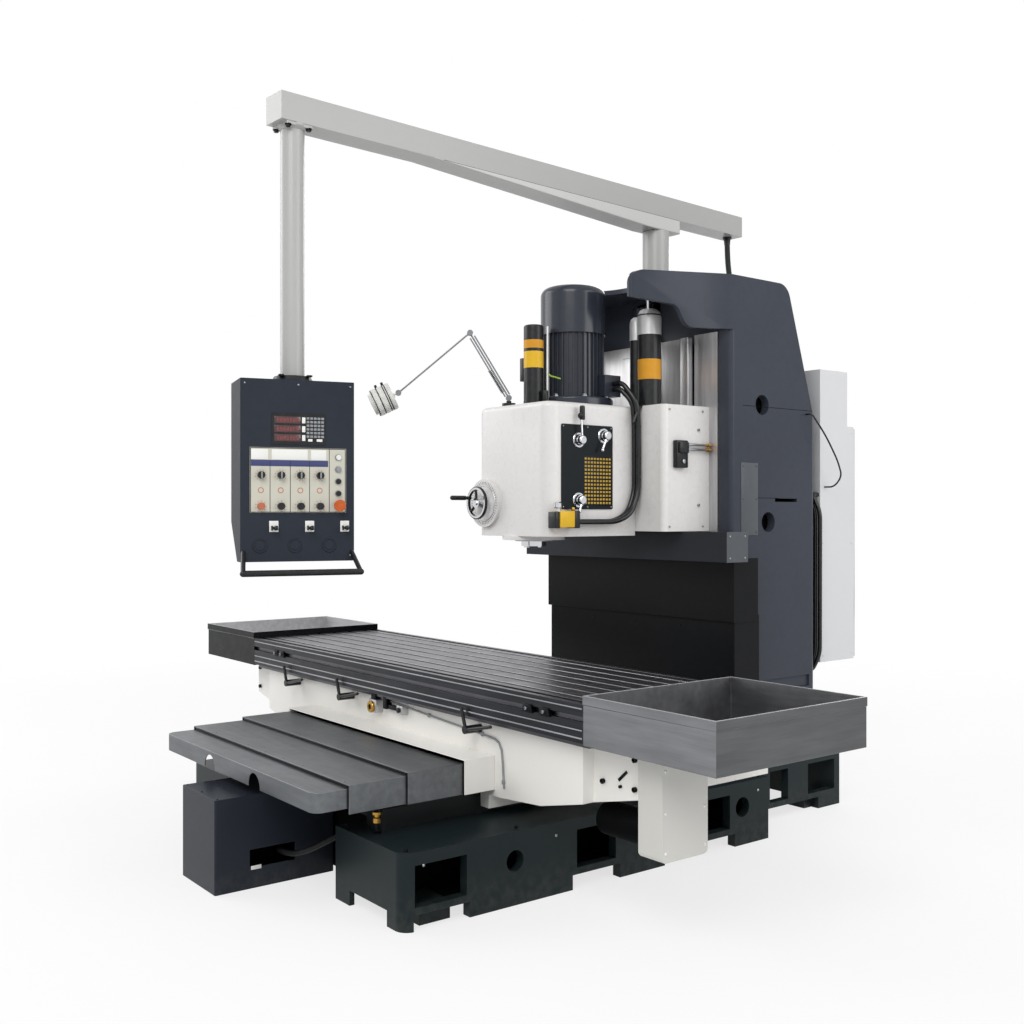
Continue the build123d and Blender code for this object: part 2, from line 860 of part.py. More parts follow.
# Housing of the table feed drive, open to the saddle's end
leg_start = saddle_half
leg_end = saddle_half + leg_width
leg_back = leg_front + leg_depth
motor_x_z = leg_bottom + feed_motor_rise
with BuildPart() as x_drive_housing:
    block((leg_start, leg_end), (leg_front, leg_back), (leg_bottom, leg_top))
    fillet(x_drive_housing.edges().filter_by(Axis.X).group_by(Axis.Z)[0], radius=leg_corner)
    block((leg_start, leg_end - sheet), (leg_front + sheet, leg_back - sheet),
          (wing_end_bottom, leg_top - sheet),
          mode=Mode.SUBTRACT)
    block((leg_start + sheet, leg_end - sheet), (leg_front + sheet, leg_back - sheet),
          (leg_bottom + leg_floor, leg_top - sheet), mode=Mode.SUBTRACT)
save(x_drive_housing.part, "x_drive_housing")

# Feed motors
flange_half = feed_motor_diameter / 2
with BuildPart() as x_feed_motor:
    rod((leg_start - feed_motor_length, screw_x_y, motor_x_z), (leg_start, screw_x_y, motor_x_z),
        feed_motor_diameter)
    fillet(x_feed_motor.edges().sort_by(Axis.X)[0], radius=feed_motor_round)
    block((leg_start - feed_motor_flange, leg_start), (screw_x_y - flange_half, screw_x_y + flange_half),
          (leg_bottom, motor_x_z + flange_half))
save(x_feed_motor.part, "x_feed_motor")

with BuildPart() as y_feed_motor:
    rod((0, web_front - feed_motor_length, screw_y_z), (0, web_front, screw_y_z), feed_motor_diameter)
    fillet(y_feed_motor.edges().sort_by(Axis.Y)[0], radius=feed_motor_round)
    block((-bearing_width / 2, bearing_width / 2), (web_front - feed_motor_flange, web_front),
          (bed_height - bed_wall, bearing_top))
save(y_feed_motor.part, "y_feed_motor")

# Feed screws: a threaded body between two journals
screw_x_end = saddle_half - end_wall
pulley_end = saddle_half + pulley_gap + pulley_width
with BuildPart() as x_ball_screw:
    rod((journal_gap - saddle_half, screw_x_y, screw_x_z), (pulley_end, screw_x_y, screw_x_z),
        journal_diameter)
    rod((part_gap - screw_x_end, screw_x_y, screw_x_z), (screw_x_end - part_gap, screw_x_y, screw_x_z),
        screw_diameter)
    # Belt pulley inside the drive housing
    rod((pulley_end - pulley_width, screw_x_y, screw_x_z), (pulley_end, screw_x_y, screw_x_z),
        pulley_diameter)
save(x_ball_screw.part, "x_ball_screw")

with BuildPart() as y_ball_screw:
    rod((0, web_front + journal_gap, screw_y_z), (0, rail_rear - journal_gap, screw_y_z), journal_diameter)
    rod((0, web_front + bearing_length + part_gap, screw_y_z),
        (0, rail_rear - bearing_length - part_gap, screw_y_z), screw_diameter)
save(y_ball_screw.part, "y_ball_screw")

# Table with tee slots, a dog groove in its front edge and coolant grooves
with BuildPart() as table:
    block((-table_half, table_half), (table_front, table_rear), (table_bottom, table_top))
    # Ways that ride on the saddle, on both sides of the guide
    table_way_bottom = saddle_top + slide_gap
    guide_half = guide_width / 2 + slide_gap
    block((-table_half, table_half), (saddle_front - table_way_inset, screw_x_y - guide_half),
          (table_way_bottom, table_bottom))
    block((-table_half, table_half), (screw_x_y + guide_half, saddle_rear - table_way_inset),
          (table_way_bottom, table_bottom))
    for slot in range(tee_slots):
        slot_y = table_middle + (slot - (tee_slots - 1) / 2) * tee_pitch
        block((-table_half, table_half), (slot_y - tee_neck / 2, slot_y + tee_neck / 2),
              (table_top - tee_neck_depth, table_top), mode=Mode.SUBTRACT)
        block((-table_half, table_half), (slot_y - tee_head / 2, slot_y + tee_head / 2),
              (table_top - tee_neck_depth - tee_head_depth, table_top - tee_neck_depth), mode=Mode.SUBTRACT)
    block((-table_half, table_half), (table_front, table_front + dog_groove_depth),
          (dog_groove_z - dog_groove / 2, dog_groove_z + dog_groove / 2), mode=Mode.SUBTRACT)
    for groove_y in (table_front + coolant_groove_inset, table_rear - coolant_groove_inset):
        block((-table_half, table_half), (groove_y - coolant_groove / 2, groove_y + coolant_groove / 2),
              (table_top - coolant_groove_depth, table_top), mode=Mode.SUBTRACT)
    # Nut of the table feed screw
    nut_half = screw_groove / 2 - nut_side_gap
    nut_end = table_nut_length / 2
    block((-nut_end, nut_end), (screw_x_y - nut_half, screw_x_y + nut_half),
          (screw_x_z - nut_half, table_bottom))
    rod((-nut_end, screw_x_y, screw_x_z), (nut_end, screw_x_y, screw_x_z), screw_diameter + 2 * part_gap,
        mode=Mode.SUBTRACT)
save(table.part, "table")


def tray(side):
    """Make the open chip tray at one end of the table."""
    near = table_half
    far = table_half + tray_length
    with BuildPart() as end_tray:
        block(sorted((side * near, side * far)), (table_front, table_rear), (tray_bottom, tray_rim))
        block(sorted((side * near, side * (far + tray_band_out))), (table_front - tray_band_out, table_rear),
              (tray_rim - tray_band, tray_rim))
        block(sorted((side * (near + tray_wall), side * (far - tray_wall))),
              (table_front + tray_wall, table_rear - tray_wall), (tray_bottom + tray_wall, tray_rim),
              mode=Mode.SUBTRACT)
    return end_tray.part


save(tray(1), "right_tray")
save(tray(-1), "left_tray")


def clamp_lever(pivot_x):
    """Make one clamp lever: a hub with a short upright arm and a long grip."""
    bar_y = saddle_front - clamp_length + clamp_bar / 2
    pivot = (pivot_x, bar_y, clamp_z)
    with BuildPart() as lever:
        rod((pivot_x, saddle_front - part_gap, clamp_z), (pivot_x, saddle_front - clamp_length, clamp_z),
            clamp_hub)
        for end in ((pivot_x - clamp_lean, bar_y, clamp_z + clamp_arm),
                    (pivot_x + clamp_grip, bar_y, clamp_z + clamp_grip_rise)):
            rod(pivot, end, clamp_bar)
            with Locations(end):
                Sphere(clamp_bar / 2)
    return lever.part


for number, pivot_x in enumerate(clamp_places, start=1):
    save(clamp_lever(pivot_x), "clamp_lever_" + str(number))

# Column: a hollow casting with a hood over the head and box ways on its front
with BuildPart() as column:
    with BuildSketch(Plane.YZ.offset(-column_half)):
        with BuildLine():
            Polyline((column_front, bed_height), (column_rear, bed_height), (column_rear, column_bend),
                     (column_top_rear, column_top), (column_front, column_top), close=True)
        make_face()
    extrude(amount=2 * column_half)
    back_edges = column.edges().filter_by(Axis.X).sort_by(Axis.Z)
    fillet(back_edges.group_by(Axis.Z)[-1].sort_by(Axis.Y)[-1], radius=column_crown)
    fillet(column.edges().filter_by(Axis.Z).group_by(Axis.Y)[-1], radius=column_corner)
    # Cheeks beside the ways
    for side in (-1, 1):
        with BuildSketch(Plane.XY.offset(bed_height)):
            with BuildLine():
                Polyline((side * cheek_inner, column_front), (side * cheek_inner, cheek_front),
                         (side * column_half, cheek_front), (side * column_half, column_front), close=True)
            make_face()
            outer = vertices().group_by(Axis.Y)[0].sort_by(lambda corner: abs(corner.X))[-1]
            fillet(outer, radius=cheek_corner)
        extrude(amount=hood_root - bed_height)
    # Hood, narrower at its front, with a curved underside and a rounded top edge
    with BuildSketch(Plane.XY.offset(hood_root)):
        with BuildLine():
            Polyline((-hood_left, hood_front), (hood_right, hood_front), (column_half, cheek_front),
                     (column_half, column_front), (-column_half, column_front), (-column_half, cheek_front),
                     close=True)
        make_face()
        fillet(vertices().group_by(Axis.Y)[0], radius=hood_corner)
    extrude(amount=column_top - hood_root)
    knee_y = column_front - hood_knee_reach
    foot_y = column_front - hood_foot_reach
    with BuildSketch(Plane.YZ.offset(-column_half)):
        with BuildLine():
            Polyline((foot_y, hood_root), (hood_front, hood_root), (hood_front, hood_lip),
                     (knee_y, hood_knee))
            Spline((knee_y, hood_knee), (foot_y, hood_root),
                   tangents=((knee_y - hood_front, hood_knee - hood_lip), (1, 0)))
        make_face()
        with Locations((hood_front, column_top)):
            Rectangle(2 * hood_edge, 2 * hood_edge)
        with Locations((hood_front + hood_edge, column_top - hood_edge)):
            Circle(hood_edge, mode=Mode.SUBTRACT)
    extrude(amount=2 * column_half, mode=Mode.SUBTRACT)
    # Hollow of the hood, and the round recess in its front for the spindle motor
    with BuildSketch(Plane.XY.offset(hood_root)):
        with BuildLine():
            Polyline((hood_wall - hood_left, hood_front), (hood_right - hood_wall, hood_front),
                     (column_half - hood_wall, cheek_front), (column_half - hood_wall, column_front),
                     (hood_wall - column_half, column_front), (hood_wall - column_half,
                                                               cheek_front), close=True)
        make_face()
    extrude(amount=column_top - hood_wall - hood_root, mode=Mode.SUBTRACT)
    recess_x = (hood_right - hood_left) / 2
    recess_diameter = hood_right + hood_left - 2 * hood_wall
    rod((recess_x, hood_front, hood_root), (recess_x, hood_front, column_top), recess_diameter,
        mode=Mode.SUBTRACT)
    # Hollow inside
    with BuildSketch(Plane.YZ.offset(column_wall - column_half)):
        with BuildLine():
            Polyline((column_front + column_wall, bed_height + column_wall),
                     (column_rear - column_wall, bed_height + column_wall),
                     (column_rear - column_wall, column_bend),
                     (column_top_rear - column_wall, column_top - column_wall),
                     (column_front + column_wall, column_top - column_wall), close=True)
        make_face()
    extrude(amount=2 * (column_half - column_wall), mode=Mode.SUBTRACT)
    # Ways and the bearing blocks of the vertical feed screw
    for side in (-1, 1):
        block(sorted((side * column_way_inner, side * (column_way_inner + column_way_width))),
              (way_face, column_front), (column_way_bottom, column_way_top))
    for bearing_z in (column_way_bottom, column_way_top - bearing_length):
        block((-bearing_width / 2, bearing_width / 2), (way_face, column_front),
              (bearing_z, bearing_z + bearing_length))
    rod((0, screw_z_y, column_way_bottom), (0, screw_z_y, column_way_top), journal_diameter + 2 * turn_gap,
        mode=Mode.SUBTRACT)
    # Room for the feed motor behind the hood
    block((-motor_room / 2, motor_room / 2), (column_front, column_front + column_wall),
          (column_way_top, column_top - column_wall), mode=Mode.SUBTRACT)
    # Lifting holes, a vent slot and a recess on both sides
    for hole_setback, hole_z in column_holes:
        hole_y = column_front + hole_setback
        rod((-column_half, hole_y, hole_z), (column_half, hole_y, hole_z), column_hole, mode=Mode.SUBTRACT)
    vent_start = column_front + vent_front
    block((-column_half, column_half), (vent_start, vent_start + vent_length),
          (vent_bottom, vent_bottom + vent_height),
          mode=Mode.SUBTRACT)
    recess_start = column_front + recess_front
    for side in (-1, 1):
        block(sorted((side * (column_half - recess_depth), side * column_half)),
              (recess_start, recess_start + recess_length), (recess_bottom, recess_bottom + recess_height),
              mode=Mode.SUBTRACT)
save(column.part, "column")

with BuildPart() as z_feed_motor:
    rod((0, screw_z_y, column_way_top), (0, screw_z_y, column_way_top + z_motor_length), feed_motor_diameter)
    fillet(z_feed_motor.edges().sort_by(Axis.Z)[-1], radius=feed_motor_round)
save(z_feed_motor.part, "z_feed_motor")

with BuildPart() as z_ball_screw:
    rod((0, screw_z_y, column_way_bottom + journal_gap), (0, screw_z_y, column_way_top - journal_gap),
        journal_diameter)
    rod((0, screw_z_y, column_way_bottom + bearing_length + part_gap),
        (0, screw_z_y, column_way_top - bearing_length - part_gap), screw_diameter)
save(z_ball_screw.part, "z_ball_screw")


def guard(half, front, back, bottom, top):
    """Make a folded guard: a front sheet with two returns."""
    with BuildPart() as folded:
        block((-half, half), (front, back), (bottom, top))
        block((guard_sheet - half, half - guard_sheet), (front + guard_sheet, back), (bottom, top),
              mode=Mode.SUBTRACT)
    return folded.part


save(guard(guard_half, guard_front, guard_back, bed_height, guard_top), "column_guard")
save(guard(guard_half + guard_step, guard_front - guard_step - guard_sheet, guard_back - guard_back_step,
           middle_guard_bottom, middle_guard_bottom + middle_guard_height), "middle_guard")
save(guard(apron_half, apron_front, apron_front + apron_depth, carriage_bottom - apron_height,
           carriage_bottom), "apron")

# Head carriage on the column ways
with BuildPart() as head_carriage:
    block((-carriage_half, carriage_half), (carriage_front, carriage_back), (carriage_bottom, carriage_top))
    fillet(head_carriage.edges().filter_by(Axis.Z).group_by(Axis.Y)[0], radius=carriage_corner)
    # Keeps along the inner sides of the ways
    for side in (-1, 1):
        keep_outer = column_way_inner - slide_gap
        block(sorted((side * (keep_outer - keep_width), side * keep_outer)),
              (carriage_back, column_front - keep_end_gap),
              (carriage_bottom, carriage_top))
    # Nut of the vertical feed screw
    nut_z = carriage_bottom + carriage_nut_rise
    block((-nut_diameter / 2, nut_diameter / 2), (carriage_back, column_front - nut_end_gap),
          (nut_z, nut_z + nut_length))
    rod((0, screw_z_y, carriage_bottom), (0, screw_z_y, carriage_top), screw_diameter + 2 * part_gap,
        mode=Mode.SUBTRACT)
    # Hollows beside the rib that carries the nut
    for side in (-1, 1):
        block(sorted((side * carriage_rib, side * (carriage_rib + carriage_pocket))),
              (carriage_front + carriage_wall, carriage_back), (carriage_bottom + carriage_wall,
                                                                carriage_top - carriage_wall),
              mode=Mode.SUBTRACT)
    # Seat of the balance cylinder
    rod((balance_x, balance_y, balance_bottom), (balance_x, balance_y, carriage_top),
        balance_diameter + 2 * turn_gap, mode=Mode.SUBTRACT)
save(head_carriage.part, "head_carriage")

# Gear head: a hollow casting open to the carriage, with the quill sleeve inside
sleeve_top = head_bottom + quill_sleeve_height
with BuildPart() as head_box:
    block((-head_half, head_half), (head_front, carriage_front), (head_bottom, head_top))
    fillet(head_box.edges().filter_by(Axis.Z).group_by(Axis.Y)[0], radius=head_corner)
    fillet(head_box.faces().sort_by(Axis.Z)[-1].edges().group_by(Axis.Y)[0:-1], radius=head_edge)
    # Round boss behind the handwheel and a boss round the quill
    rod((wheel_x, head_front - wheel_boss_height, wheel_z), (wheel_x, head_front + head_corner, wheel_z),
        wheel_boss)
    rod((0, spindle_y, head_bottom - quill_boss_height), (0, spindle_y, head_bottom), quill_boss)
    block((head_wall - head_half, head_half - head_wall), (head_front + head_wall, carriage_front),
          (head_bottom + head_wall, head_top - head_wall), mode=Mode.SUBTRACT)
    rod((0, spindle_y, head_bottom), (0, spindle_y, sleeve_top), quill_sleeve)
    rod((0, spindle_y, head_bottom - quill_boss_height), (0, spindle_y, sleeve_top),
        quill_diameter + 2 * turn_gap,
        mode=Mode.SUBTRACT)
    rod((wheel_x, head_front - wheel_boss_height, wheel_z), (wheel_x, head_front + head_wall, wheel_z),
        wheel_shaft + 2 * turn_gap, mode=Mode.SUBTRACT)
save(head_box.part, "head_box")

# Quill and spindle
with BuildPart() as quill:
    rod((0, spindle_y, quill_bottom + part_gap), (0, spindle_y, quill_bottom + quill_length), quill_diameter)
    rod((0, spindle_y, quill_bottom), (0, spindle_y, quill_bottom + quill_length),
        spindle_diameter + 2 * turn_gap, mode=Mode.SUBTRACT)
save(quill.part, "quill")

taper_small = taper_large - taper_length * 7 / 24
with BuildPart() as spindle:
    rod((0, spindle_y, nose_bottom), (0, spindle_y, quill_bottom), nose_diameter)
    rod((0, spindle_y, quill_bottom), (0, spindle_y, nose_bottom + spindle_length), spindle_diameter)
    # Two drive keys on the nose
    for side in (-1, 1):
        block((-drive_key_width / 2, drive_key_width / 2),
              sorted((spindle_y + side * drive_key_inner, spindle_y + side * drive_key_outer)),
              (nose_bottom - drive_key_height, nose_bottom))
    with Locations((0, spindle_y, nose_bottom)):
        Cone(taper_large / 2, taper_small / 2, taper_length, align=(Align.CENTER, Align.CENTER, Align.MIN),
             mode=Mode.SUBTRACT)
    rod((0, spindle_y, nose_bottom), (0, spindle_y, nose_bottom + spindle_length), drawbar_bore,
        mode=Mode.SUBTRACT)
    with Locations((0, spindle_y, nose_bottom)):
        with PolarLocations(nose_bolt_circle / 2, nose_bolts, start_angle=180 / nose_bolts):
            Cylinder(nose_bolt_hole / 2, nose_bolt_depth, align=(Align.CENTER, Align.CENTER, Align.MIN),
                     mode=Mode.SUBTRACT)
save(spindle.part, "spindle")

# Spindle motor: flange, finned body, fan cowl and terminal box
with BuildPart() as spindle_motor:
    rod((0, motor_y, head_top), (0, motor_y, motor_body_bottom), motor_flange_diameter)
    fillet(spindle_motor.edges().sort_by(Axis.Z)[-1], radius=motor_flange_round)
    rod((0, motor_y, motor_body_bottom), (0, motor_y, motor_cowl_bottom), motor_diameter)
    with Locations((0, motor_y, motor_body_bottom + motor_body_height / 2)):
        with PolarLocations(motor_diameter / 2, motor_fins):
            Box(2 * motor_fin_depth, motor_fin_width, motor_body_height)
    rod((0, motor_y, motor_cowl_bottom), (0, motor_y, motor_cowl_bottom + motor_cowl_height),
        motor_cowl_diameter)
    fillet(spindle_motor.edges().filter_by(GeomType.CIRCLE).sort_by(Axis.Z)[-1], radius=motor_cowl_round)
    box_front = motor_y + terminal_box_setback
    box_bottom = motor_body_bottom + terminal_box_rise
    block((terminal_box_inner, terminal_box_outer), (box_front, box_front + terminal_box_length),
          (box_bottom, box_bottom + terminal_box_length))
save(spindle_motor.part, "spindle_motor")

with BuildPart() as drawbar_cylinder:
    rod((0, spindle_y, head_top), (0, spindle_y, head_top + drawbar_foot_height), drawbar_foot)
    rod((0, spindle_y, head_top), (0, spindle_y, head_top + drawbar_height), drawbar_diameter)
    fillet(drawbar_cylinder.edges().filter_by(GeomType.CIRCLE).sort_by(Axis.Z)[-1], radius=drawbar_round)
save(drawbar_cylinder.part, "drawbar_cylinder")

# Balance cylinder on the carriage, its rod hung from the hood
balance_gland = balance_top - balance_gland_length
with BuildPart() as balance_cylinder:
    rod((balance_x, balance_y, balance_bottom), (balance_x, balance_y, balance_top), balance_diameter)
    fillet(balance_cylinder.edges().sort_by(Axis.Z)[-1], radius=balance_round)
    rod((balance_x, balance_y, balance_bottom + balance_floor), (balance_x, balance_y, balance_gland),
        balance_bore,
        mode=Mode.SUBTRACT)
    rod((balance_x, balance_y, balance_gland), (balance_x, balance_y, balance_top),
        balance_rod_diameter + 2 * turn_gap, mode=Mode.SUBTRACT)
save(balance_cylinder.part, "balance_cylinder")

piston_bottom = balance_bottom + piston_rise
with BuildPart() as balance_rod:
    rod((balance_x, balance_y, piston_bottom), (balance_x, balance_y, column_top - hood_wall),
        balance_rod_diameter)
    rod((balance_x, balance_y, piston_bottom), (balance_x, balance_y, piston_bottom + piston_length),
        balance_bore - 2 * turn_gap)
save(balance_rod.part, "balance_rod")

# Gear plate on the right side of the head, with three shift levers
plate_face = head_half + plate_thickness
with BuildPart() as gear_plate:
    block((head_half, plate_face), (plate_front, plate_front + plate_length),
          (plate_bottom, plate_bottom + plate_height))
    fillet(gear_plate.edges().filter_by(Axis.X), radius=plate_corner)
save(gear_plate.part, "gear_plate")


def gear_lever(pivot, tip, knob):
    """Make a shift lever: a round hub, a stem in the plane of the plate and a knob."""
    hub_end = plate_face + lever_hub_length
    stem_x = hub_end - lever_stem
    with BuildPart() as lever:
        rod((plate_face + part_gap, *pivot), (hub_end, *pivot), lever_hub)
        fillet(lever.edges().sort_by(Axis.X)[-1], radius=lever_hub_round)
        rod((stem_x, *pivot), (stem_x, *tip), lever_stem)
        with Locations((stem_x, *tip)):
            Sphere(knob / 2)
    return lever.part


for number, (pivot, tip, knob) in enumerate(shift_levers, start=1):
    pivot_place = (plate_front + pivot[0], plate_bottom + pivot[1])
    tip_place = (plate_front + tip[0], plate_bottom + tip[1])
    save(gear_lever(pivot_place, tip_place, knob), "gear_lever_" + str(number))

# Handwheel of the quill feed, with a crank
with BuildPart() as handwheel:
    with BuildSketch(Plane(origin=(wheel_x, wheel_y + wheel_rim / 2, wheel_z), z_dir=(0, -1, 0))):
        Circle(wheel_diameter / 2)
        Circle(wheel_diameter / 2 - wheel_rim, mode=Mode.SUBTRACT)
    extrude(amount=wheel_rim)
    fillet(handwheel.edges().filter_by(GeomType.CIRCLE).group_by(SortBy.RADIUS)[-1], radius=wheel_round)
    rod((wheel_x, head_front, wheel_z), (wheel_x, wheel_y - wheel_shaft_end, wheel_z), wheel_shaft)
    rod((wheel_x, head_front - wheel_boss_height - part_gap, wheel_z),
        (wheel_x, wheel_y - wheel_hub_end, wheel_z),
        wheel_hub)
    for spoke in range(wheel_spokes):
        spoke_angle = radians(first_spoke + 360 / wheel_spokes * spoke)
        spoke_end = (wheel_x + wheel_ring * cos(spoke_angle), wheel_y,
                     wheel_z + wheel_ring * sin(spoke_angle))
        rod((wheel_x, wheel_y, wheel_z), spoke_end, wheel_spoke)
    crank_angle = radians(crank_turn)
    crank_x = wheel_x + wheel_ring * cos(crank_angle)
    crank_z = wheel_z + wheel_ring * sin(crank_angle)
    crank_end = (crank_x, wheel_y - crank_grip_end, crank_z)
    rod((crank_x, wheel_y + crank_stub, crank_z), (crank_x, wheel_y - crank_pin_length, crank_z), crank_pin)
    rod((crank_x, wheel_y - crank_grip_start, crank_z), crank_end, crank_grip)
    with Locations(crank_end):
        Sphere(crank_grip / 2)
save(handwheel.part, "handwheel")

# Valve block low on the head's right side, and the two conduits that feed it
with BuildPart() as valve_block:
    with Locations((head_half + valve_width / 2, valve_y, valve_z)):
        Box(valve_width, valve_length, valve_height)
    fillet(valve_block.edges().filter_by(Axis.X), radius=valve_round)
save(valve_block.part, "valve_block")

conduit_x = head_half + conduit_gap
conduit_z = valve_z - conduit_drop
with BuildPart() as head_conduits:
    for number in range(2):
        shift = number * conduit_pitch
        tube([(terminal_box_outer, motor_y + 100, motor_body_bottom + 40 + shift),
              (terminal_box_outer + 50 + shift / 2, motor_y + 100, motor_body_bottom + 40 + shift),
              (conduit_x + shift, carriage_front - 34, motor_body_bottom - 30),
              (conduit_x + shift, carriage_front - 24, motor_body_bottom - 140),
              (conduit_x + shift, carriage_front - 22, conduit_z + 150),
              (conduit_x + shift, carriage_front - 72, conduit_z + 40),
              (conduit_x + shift, carriage_front - 170, conduit_z),
              (conduit_x + shift, valve_back, conduit_z)], conduit_diameter)
save(head_conduits.part, "head_conduits")

# Work lamp on the head: a swivel, two arms and the lamp head
lamp_along = Vector(cos(radians(lamp_turn)), sin(radians(lamp_turn)), 0)
lamp_across = Vector(-lamp_along.Y, lamp_along.X, 0)
shoulder = Vector(lamp_base[0], lamp_base[1], head_top + lamp_base_height)
lower_line = lamp_along * cos(radians(lamp_lower_lean)) + Vector(0, 0, sin(radians(lamp_lower_lean)))
fore_line = lamp_along * cos(radians(lamp_fore_drop)) - Vector(0, 0, sin(radians(lamp_fore_drop)))
elbow = shoulder + lower_line * lamp_lower
wrist = elbow + fore_line * lamp_fore
disc_step = lamp_across * (lamp_disc + part_gap)


def friction_disc(centre):
    """Add one disc of a friction joint, square to the lamp's plane."""
    rod(centre - lamp_across * (lamp_disc / 2), centre + lamp_across * (lamp_disc / 2), lamp_joint)


with BuildPart() as lamp_swivel:
    rod((*lamp_base, head_top + part_gap), (*lamp_base, head_top + lamp_plinth), lamp_base_diameter)
    rod((*lamp_base, head_top + part_gap), shoulder - Vector(0, 0, lamp_joint / 2 + 1), lamp_stem)
    friction_disc(shoulder - disc_step)
    rod(shoulder - disc_step - Vector(0, 0, lamp_joint), shoulder - disc_step, lamp_neck_rod)
save(lamp_swivel.part, "lamp_swivel")

with BuildPart() as lamp_lower_arm:
    friction_disc(shoulder)
    rod(shoulder, elbow, lamp_arm_diameter)
    friction_disc(elbow)
save(lamp_lower_arm.part, "lamp_lower_arm")

with BuildPart() as lamp_forearm:
    friction_disc(elbow + disc_step)
    rod(elbow + disc_step, wrist + disc_step, lamp_arm_diameter)
    friction_disc(wrist + disc_step)
save(lamp_forearm.part, "lamp_forearm")

# The lamp head is a drum on the wrist, open at its mouth
lamp_axis = (fore_line + Vector(0, 0, lamp_head_lift)).normalized()
lamp_neck = wrist + lamp_axis * lamp_head_neck
lamp_mouth = lamp_neck + lamp_axis * lamp_head_depth
lamp_shoulder = lamp_mouth - lamp_axis * lamp_head_lip
with BuildPart() as lamp_head:
    friction_disc(wrist)
    rod(wrist, lamp_neck, lamp_neck_rod)
    rod(lamp_neck, lamp_shoulder, lamp_head_diameter)
    rod(lamp_shoulder, lamp_mouth, lamp_head_mouth)
    rod(lamp_neck + lamp_axis * lamp_head_floor, lamp_shoulder - lamp_axis * lamp_head_wall,
        lamp_head_diameter - 2 * lamp_head_wall, mode=Mode.SUBTRACT)
    rod(lamp_shoulder - lamp_axis * lamp_head_wall, lamp_mouth, lamp_head_mouth - 2 * lamp_head_wall,
        mode=Mode.SUBTRACT)
save(lamp_head.part, "lamp_head")

# Post on the column, with a spigot for the pendant arm
with BuildPart(Plane(origin=(arm_pivot_x, arm_pivot_y, 0))) as arm_post:
    rod((0, 0, column_top), (0, 0, column_top + post_foot_height), post_foot)
    rod((0, 0, column_top), (0, 0, arm_gusset_bottom - part_gap), post_diameter)
    rod((0, 0, column_top), (0, 0, arm_gusset_bottom + post_spigot_length), post_spigot)
save(arm_post.part, "arm_post")

# Pendant arm: a hollow beam with a gusset, and the pole at its front end
arm_x = (cos(radians(arm_turn)), sin(radians(arm_turn)), 0)
arm_plane = Plane(origin=(arm_pivot_x, arm_pivot_y, 0), x_dir=arm_x, z_dir=(0, 0, 1))
arm_half = arm_width / 2
with BuildPart(arm_plane) as arm_beam:
    block((-arm_half, arm_half), (-arm_front_length, arm_rear_length), (arm_bottom, arm_top))
    block((arm_wall - arm_half, arm_half - arm_wall),
          (arm_wall - arm_front_length, arm_rear_length - arm_wall),
          (arm_bottom + arm_wall, arm_top - arm_wall), mode=Mode.SUBTRACT)
    block((-arm_half, arm_half), (-gusset_half, gusset_half), (arm_gusset_bottom, arm_bottom + arm_wall))
    rod((0, 0, arm_gusset_bottom), (0, 0, arm_bottom + arm_wall), post_spigot + 2 * turn_gap,
        mode=Mode.SUBTRACT)
    # Gusset that runs out along the beam
    with BuildSketch(Plane(origin=arm_plane.from_local_coords((-arm_half, 0, 0)), x_dir=arm_plane.y_dir,
                           z_dir=arm_plane.x_dir)):
        with BuildLine():
            Polyline((-gusset_half, arm_gusset_bottom), (-gusset_half, arm_bottom),
                     (-gusset_reach, arm_bottom), close=True)
        make_face()
    extrude(amount=arm_width)
    rod((0, -pole_reach, pole_bottom), (0, -pole_reach, arm_bottom), pole_diameter)
    block((-pole_flange / 2, pole_flange / 2), (-pole_reach - pole_flange / 2, -pole_reach + pole_flange / 2),
          (arm_bottom - pole_flange_height, arm_bottom))
    rod((0, -pole_reach, pole_bottom), (0, -pole_reach, arm_bottom + arm_wall), pole_diameter - 2 * pole_wall,
        mode=Mode.SUBTRACT)
save(arm_beam.part, "arm_beam")

# Pendant: a hollow box whose lower face leans back, hung from a collar on the pole
pole_foot = arm_plane.from_local_coords((0, -pole_reach, 0))
pendant_x = Vector(cos(radians(pendant_turn)), sin(radians(pendant_turn)), 0)
pendant_plane = Plane(origin=pole_foot, x_dir=pendant_x, z_dir=(0, 0, 1))
pendant_side = Plane(origin=pendant_plane.from_local_coords((-pendant_width / 2, 0, 0)),
                     x_dir=pendant_plane.y_dir,
                     z_dir=pendant_plane.x_dir)
pendant_face = -pendant_depth / 2
spigot_diameter = pole_diameter - 2 * pole_wall - 2 * turn_gap
spigot_top = pole_bottom + pendant_spigot_length
